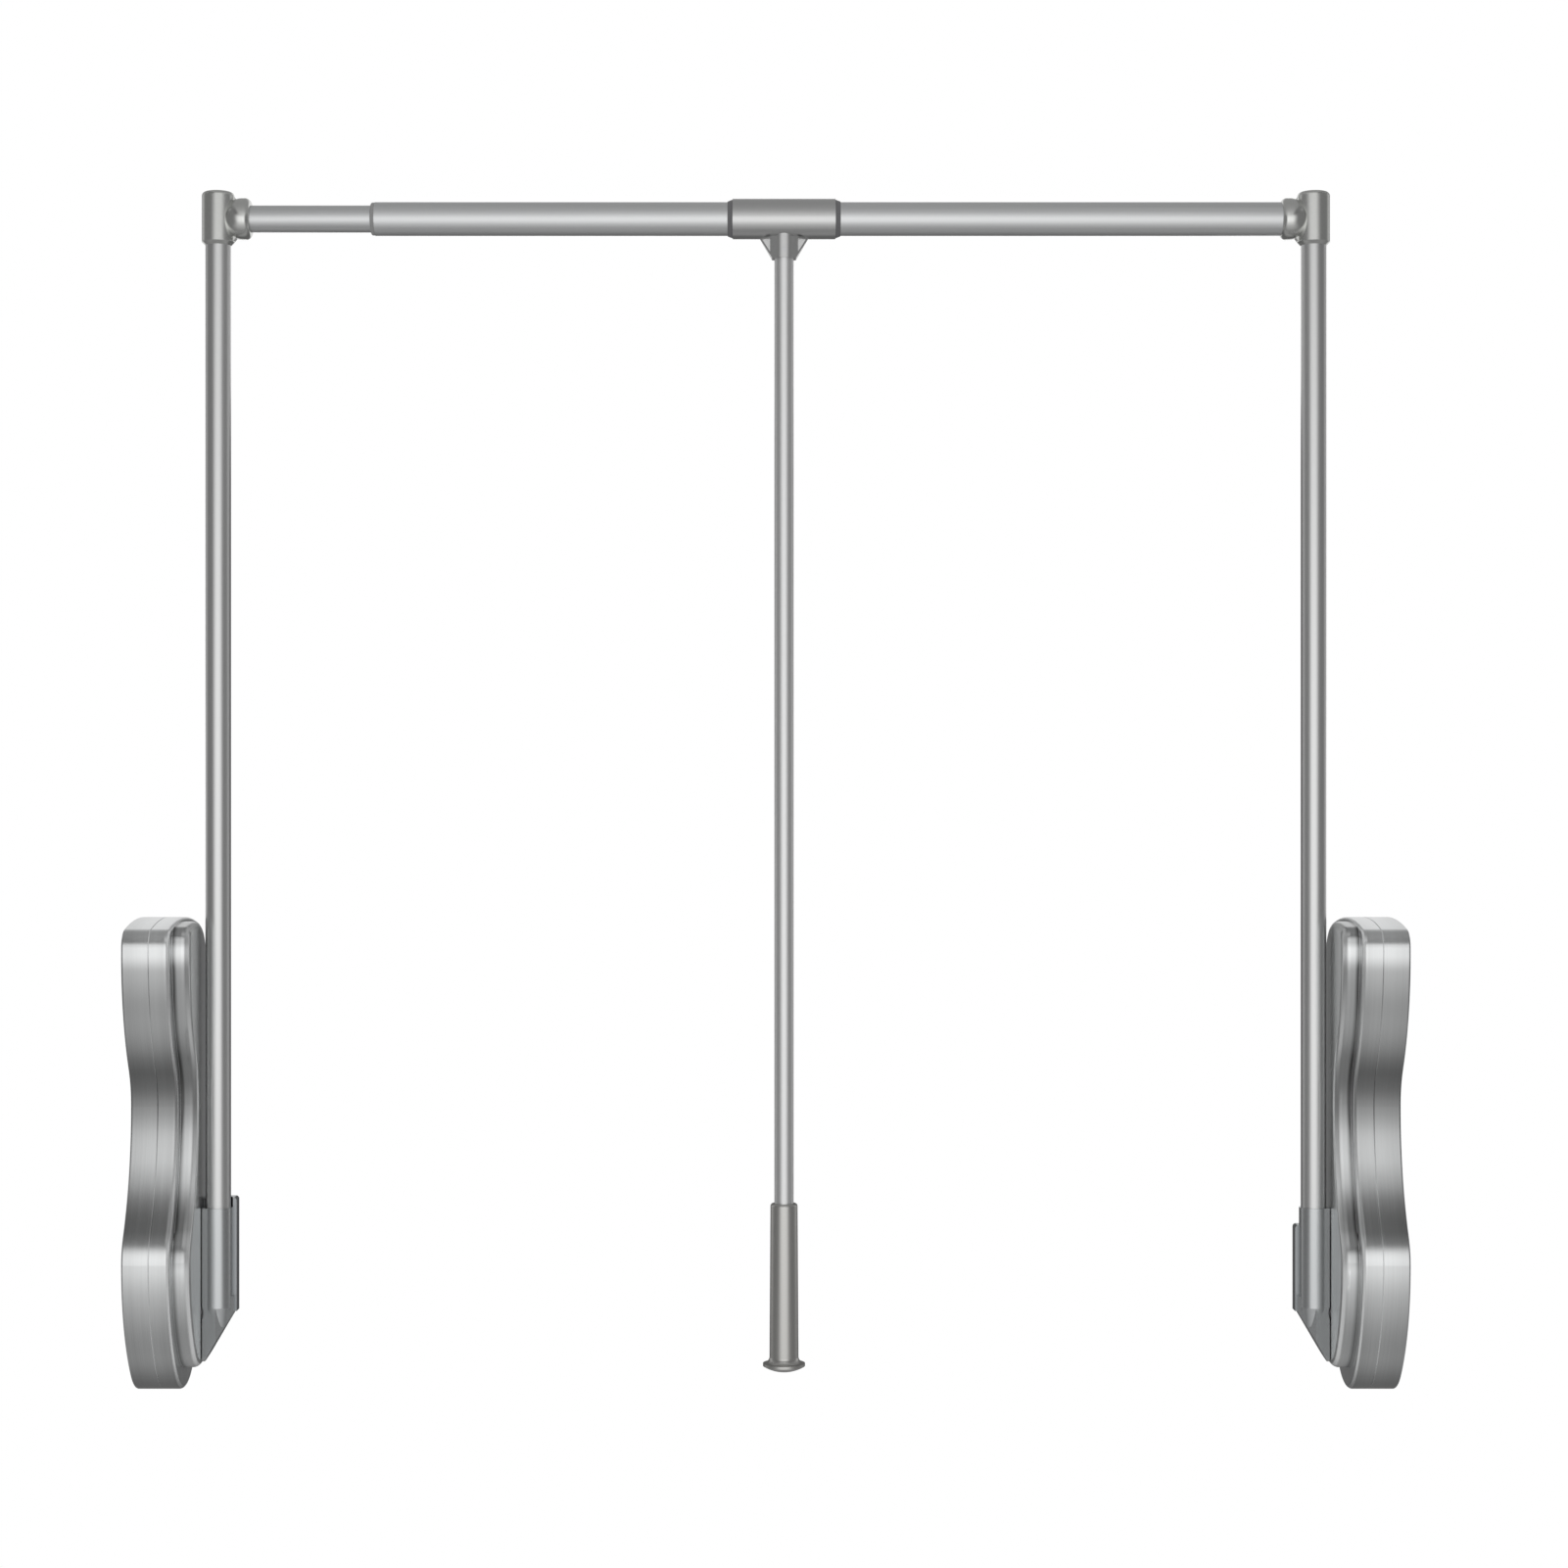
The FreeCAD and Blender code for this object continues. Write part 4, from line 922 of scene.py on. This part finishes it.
def tent_glow():
    finish = glowing("tent_sheet")
    x, y, z = [finish.part(finish.place(), axis) for axis in "XYZ"]
    angle = finish.math("ARCTAN2", z, 0 - y)
    along = (angle - math.radians(LOW_ANGLE)) * (1 / math.radians(ANGLE_RANGE))
    stops = [((at - LOW_ANGLE) / ANGLE_RANGE, level / BAR_GLOW) for at, level in GLOW_BY_ANGLE]
    front = finish.node("ShaderNodeValToRGB", {"stops": stops}, {0: along})
    away = finish.smooth_step(abs(x), BAR_HALF_START, BAR_HALF_END)
    finish.set("Emission Color", finish.mixed(away, front, glow_share(SIDE_GLOW)))
    return finish.material


def tent():
    points = []
    for strip in range(TENT_STRIPS + 1):
        angle = LOW_ANGLE + ANGLE_RANGE * strip / TENT_STRIPS
        points += [tent_point(angle, -TENT_HALF_WIDTH), tent_point(angle, TENT_HALF_WIDTH)]
    faces = [(2 * i, 2 * i + 1, 2 * i + 3, 2 * i + 2) for i in range(TENT_STRIPS)]
    reflected_sheet("tent_sheet", points, faces, tent_glow())


tent()

# %% [markdown]
# Cards close the tent and finish the light. The side cards are grey in front and paler behind. A grey
# flag hangs behind the object between its housings: the flat inner faces of the covers, seen nearly
# edge on, mirror it and turn dark. A pale card lies over the hanging rod and reaches well forward,
# brightest in front, so that the light falls off smoothly over the top of the rod.

# %% Side cards, flag and card over the rod
SIDE_BACK_Y = 3.2
SIDE_TOP_Z = 2.4
SIDE_BACK_GLOW = 0.6
SIDE_FADE_START_Y = 0.2
SIDE_FADE_END_Y = 1.4
FLAG_HALF_WIDTH = 0.43
FLAG_Y = 0.5
FLAG_LOW_Z = -0.3
FLAG_HIGH_Z = 0.6
FLAG_GLOW = 0.15
ROD_CARD_RISE = 0.28
ROD_CARD_HALF_WIDTH = 0.6
ROD_CARD_FRONT_Y = -1.1
ROD_CARD_BACK_Y = 0.3
ROD_CARD_FADE_END_Y = 0.0
ROD_CARD_FRONT_GLOW = 0.86
ROD_CARD_TOP_GLOW = 0.34


def side_card(name, x):
    low_z = FLOOR_Z - TENT_CENTRE_Z
    corners = [
        (x, -TENT_RADIUS, low_z),
        (x, SIDE_BACK_Y, low_z),
        (x, SIDE_BACK_Y, SIDE_TOP_Z),
        (x, -TENT_RADIUS, SIDE_TOP_Z),
    ]
    glow = fading_glow(name, SIDE_FADE_START_Y, SIDE_GLOW, SIDE_FADE_END_Y, SIDE_BACK_GLOW)
    reflected_card(name, corners, glow)


def flag():
    corners = [
        (-FLAG_HALF_WIDTH, FLAG_Y, FLAG_LOW_Z),
        (FLAG_HALF_WIDTH, FLAG_Y, FLAG_LOW_Z),
        (FLAG_HALF_WIDTH, FLAG_Y, FLAG_HIGH_Z),
        (-FLAG_HALF_WIDTH, FLAG_Y, FLAG_HIGH_Z),
    ]
    reflected_card("flag", corners, even_glow("flag", FLAG_GLOW))


def rod_card():
    rod_low, rod_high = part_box("outer_rod")
    z = (rod_low.z + rod_high.z) / 2 + ROD_CARD_RISE - TENT_CENTRE_Z
    corners = [
        (-ROD_CARD_HALF_WIDTH, ROD_CARD_FRONT_Y, z),
        (ROD_CARD_HALF_WIDTH, ROD_CARD_FRONT_Y, z),
        (ROD_CARD_HALF_WIDTH, ROD_CARD_BACK_Y, z),
        (-ROD_CARD_HALF_WIDTH, ROD_CARD_BACK_Y, z),
    ]
    levels = (ROD_CARD_FRONT_Y, ROD_CARD_FRONT_GLOW, ROD_CARD_FADE_END_Y, ROD_CARD_TOP_GLOW)
    reflected_card("rod_card", corners, fading_glow("rod_card", *levels))


side_card("left_side_card", -TENT_HALF_WIDTH)
side_card("right_side_card", TENT_HALF_WIDTH)
flag()
rod_card()

# %% [markdown]
# The floor is pale and far enough below that the picture shows none of its shadow. Away from the
# object it fades to the same white as the surroundings; a plain disc would be simpler, but its edge
# would show from the sides.

# %% Floor
FLOOR_RADIUS = 3.0
FLOOR_SEGMENTS = 96
FLOOR_GREY = 0.85
FLOOR_ROUGHNESS = 0.9
FADE_START = 0.7
FADE_END = 1.45
WHITE = grey(1.0)


def seen_directly(tree):
    """1 for what the camera sees straight, in a mirror or through glass, and 0 for other light."""
    seen = tree.node("ShaderNodeLightPath", {}, {}, "Is Camera Ray")
    seen = seen + tree.node("ShaderNodeLightPath", {}, {}, "Is Glossy Ray")
    return seen + tree.node("ShaderNodeLightPath", {}, {}, "Is Transmission Ray")


def pale_floor():
    finish = Finish("pale_floor", NO_METAL)
    finish.set("Base Color", grey(FLOOR_GREY))
    finish.set("Roughness", FLOOR_ROUGHNESS)
    place = finish.place()
    distance = finish.node("ShaderNodeVectorMath", {"operation": "LENGTH"}, {0: place}, "Value")
    share = finish.smooth_step(distance, FADE_START, FADE_END) * seen_directly(finish)
    near = Value(finish, finish.surface.outputs[0])
    far = finish.node("ShaderNodeEmission", {}, {"Color": WHITE, "Strength": 1.0})
    fading = finish.node("ShaderNodeMixShader", {}, {0: share, 1: near, 2: far})
    finish.plug(finish.nodes["Material Output"].inputs["Surface"], fading)
    return finish.material


def floor():
    mesh = bpy.data.meshes.new("floor")
    shape = bmesh.new()
    bmesh.ops.create_circle(shape, cap_ends=True, segments=FLOOR_SEGMENTS, radius=FLOOR_RADIUS)
    shape.to_mesh(mesh)
    shape.free()
    mesh.materials.append(pale_floor())
    piece = bpy.data.objects.new("floor", mesh)
    piece.location = (middle_x, 0, FLOOR_Z)
    scene.collection.objects.link(piece)
    print("floor", FLOOR_Z)


floor()

# %% [markdown]
# White surroundings. The world is pure white where it is seen, straight or in a reflection, and a
# little less bright as a light on dull surfaces. One colour for both would be simpler, but then the
# light could not be set without greying the background.

# %% White surroundings
FILL_LIGHT = 0.9


def white_surroundings():
    world = bpy.data.worlds.new("white_studio")
    scene.world = world
    world.use_nodes = True
    tree = Tree(world.node_tree)
    shade = tree.mixed(seen_directly(tree), grey(FILL_LIGHT), WHITE)
    tree.plug(tree.nodes["Background"].inputs["Color"], shade)
    print("fill light", FILL_LIGHT)


white_surroundings()
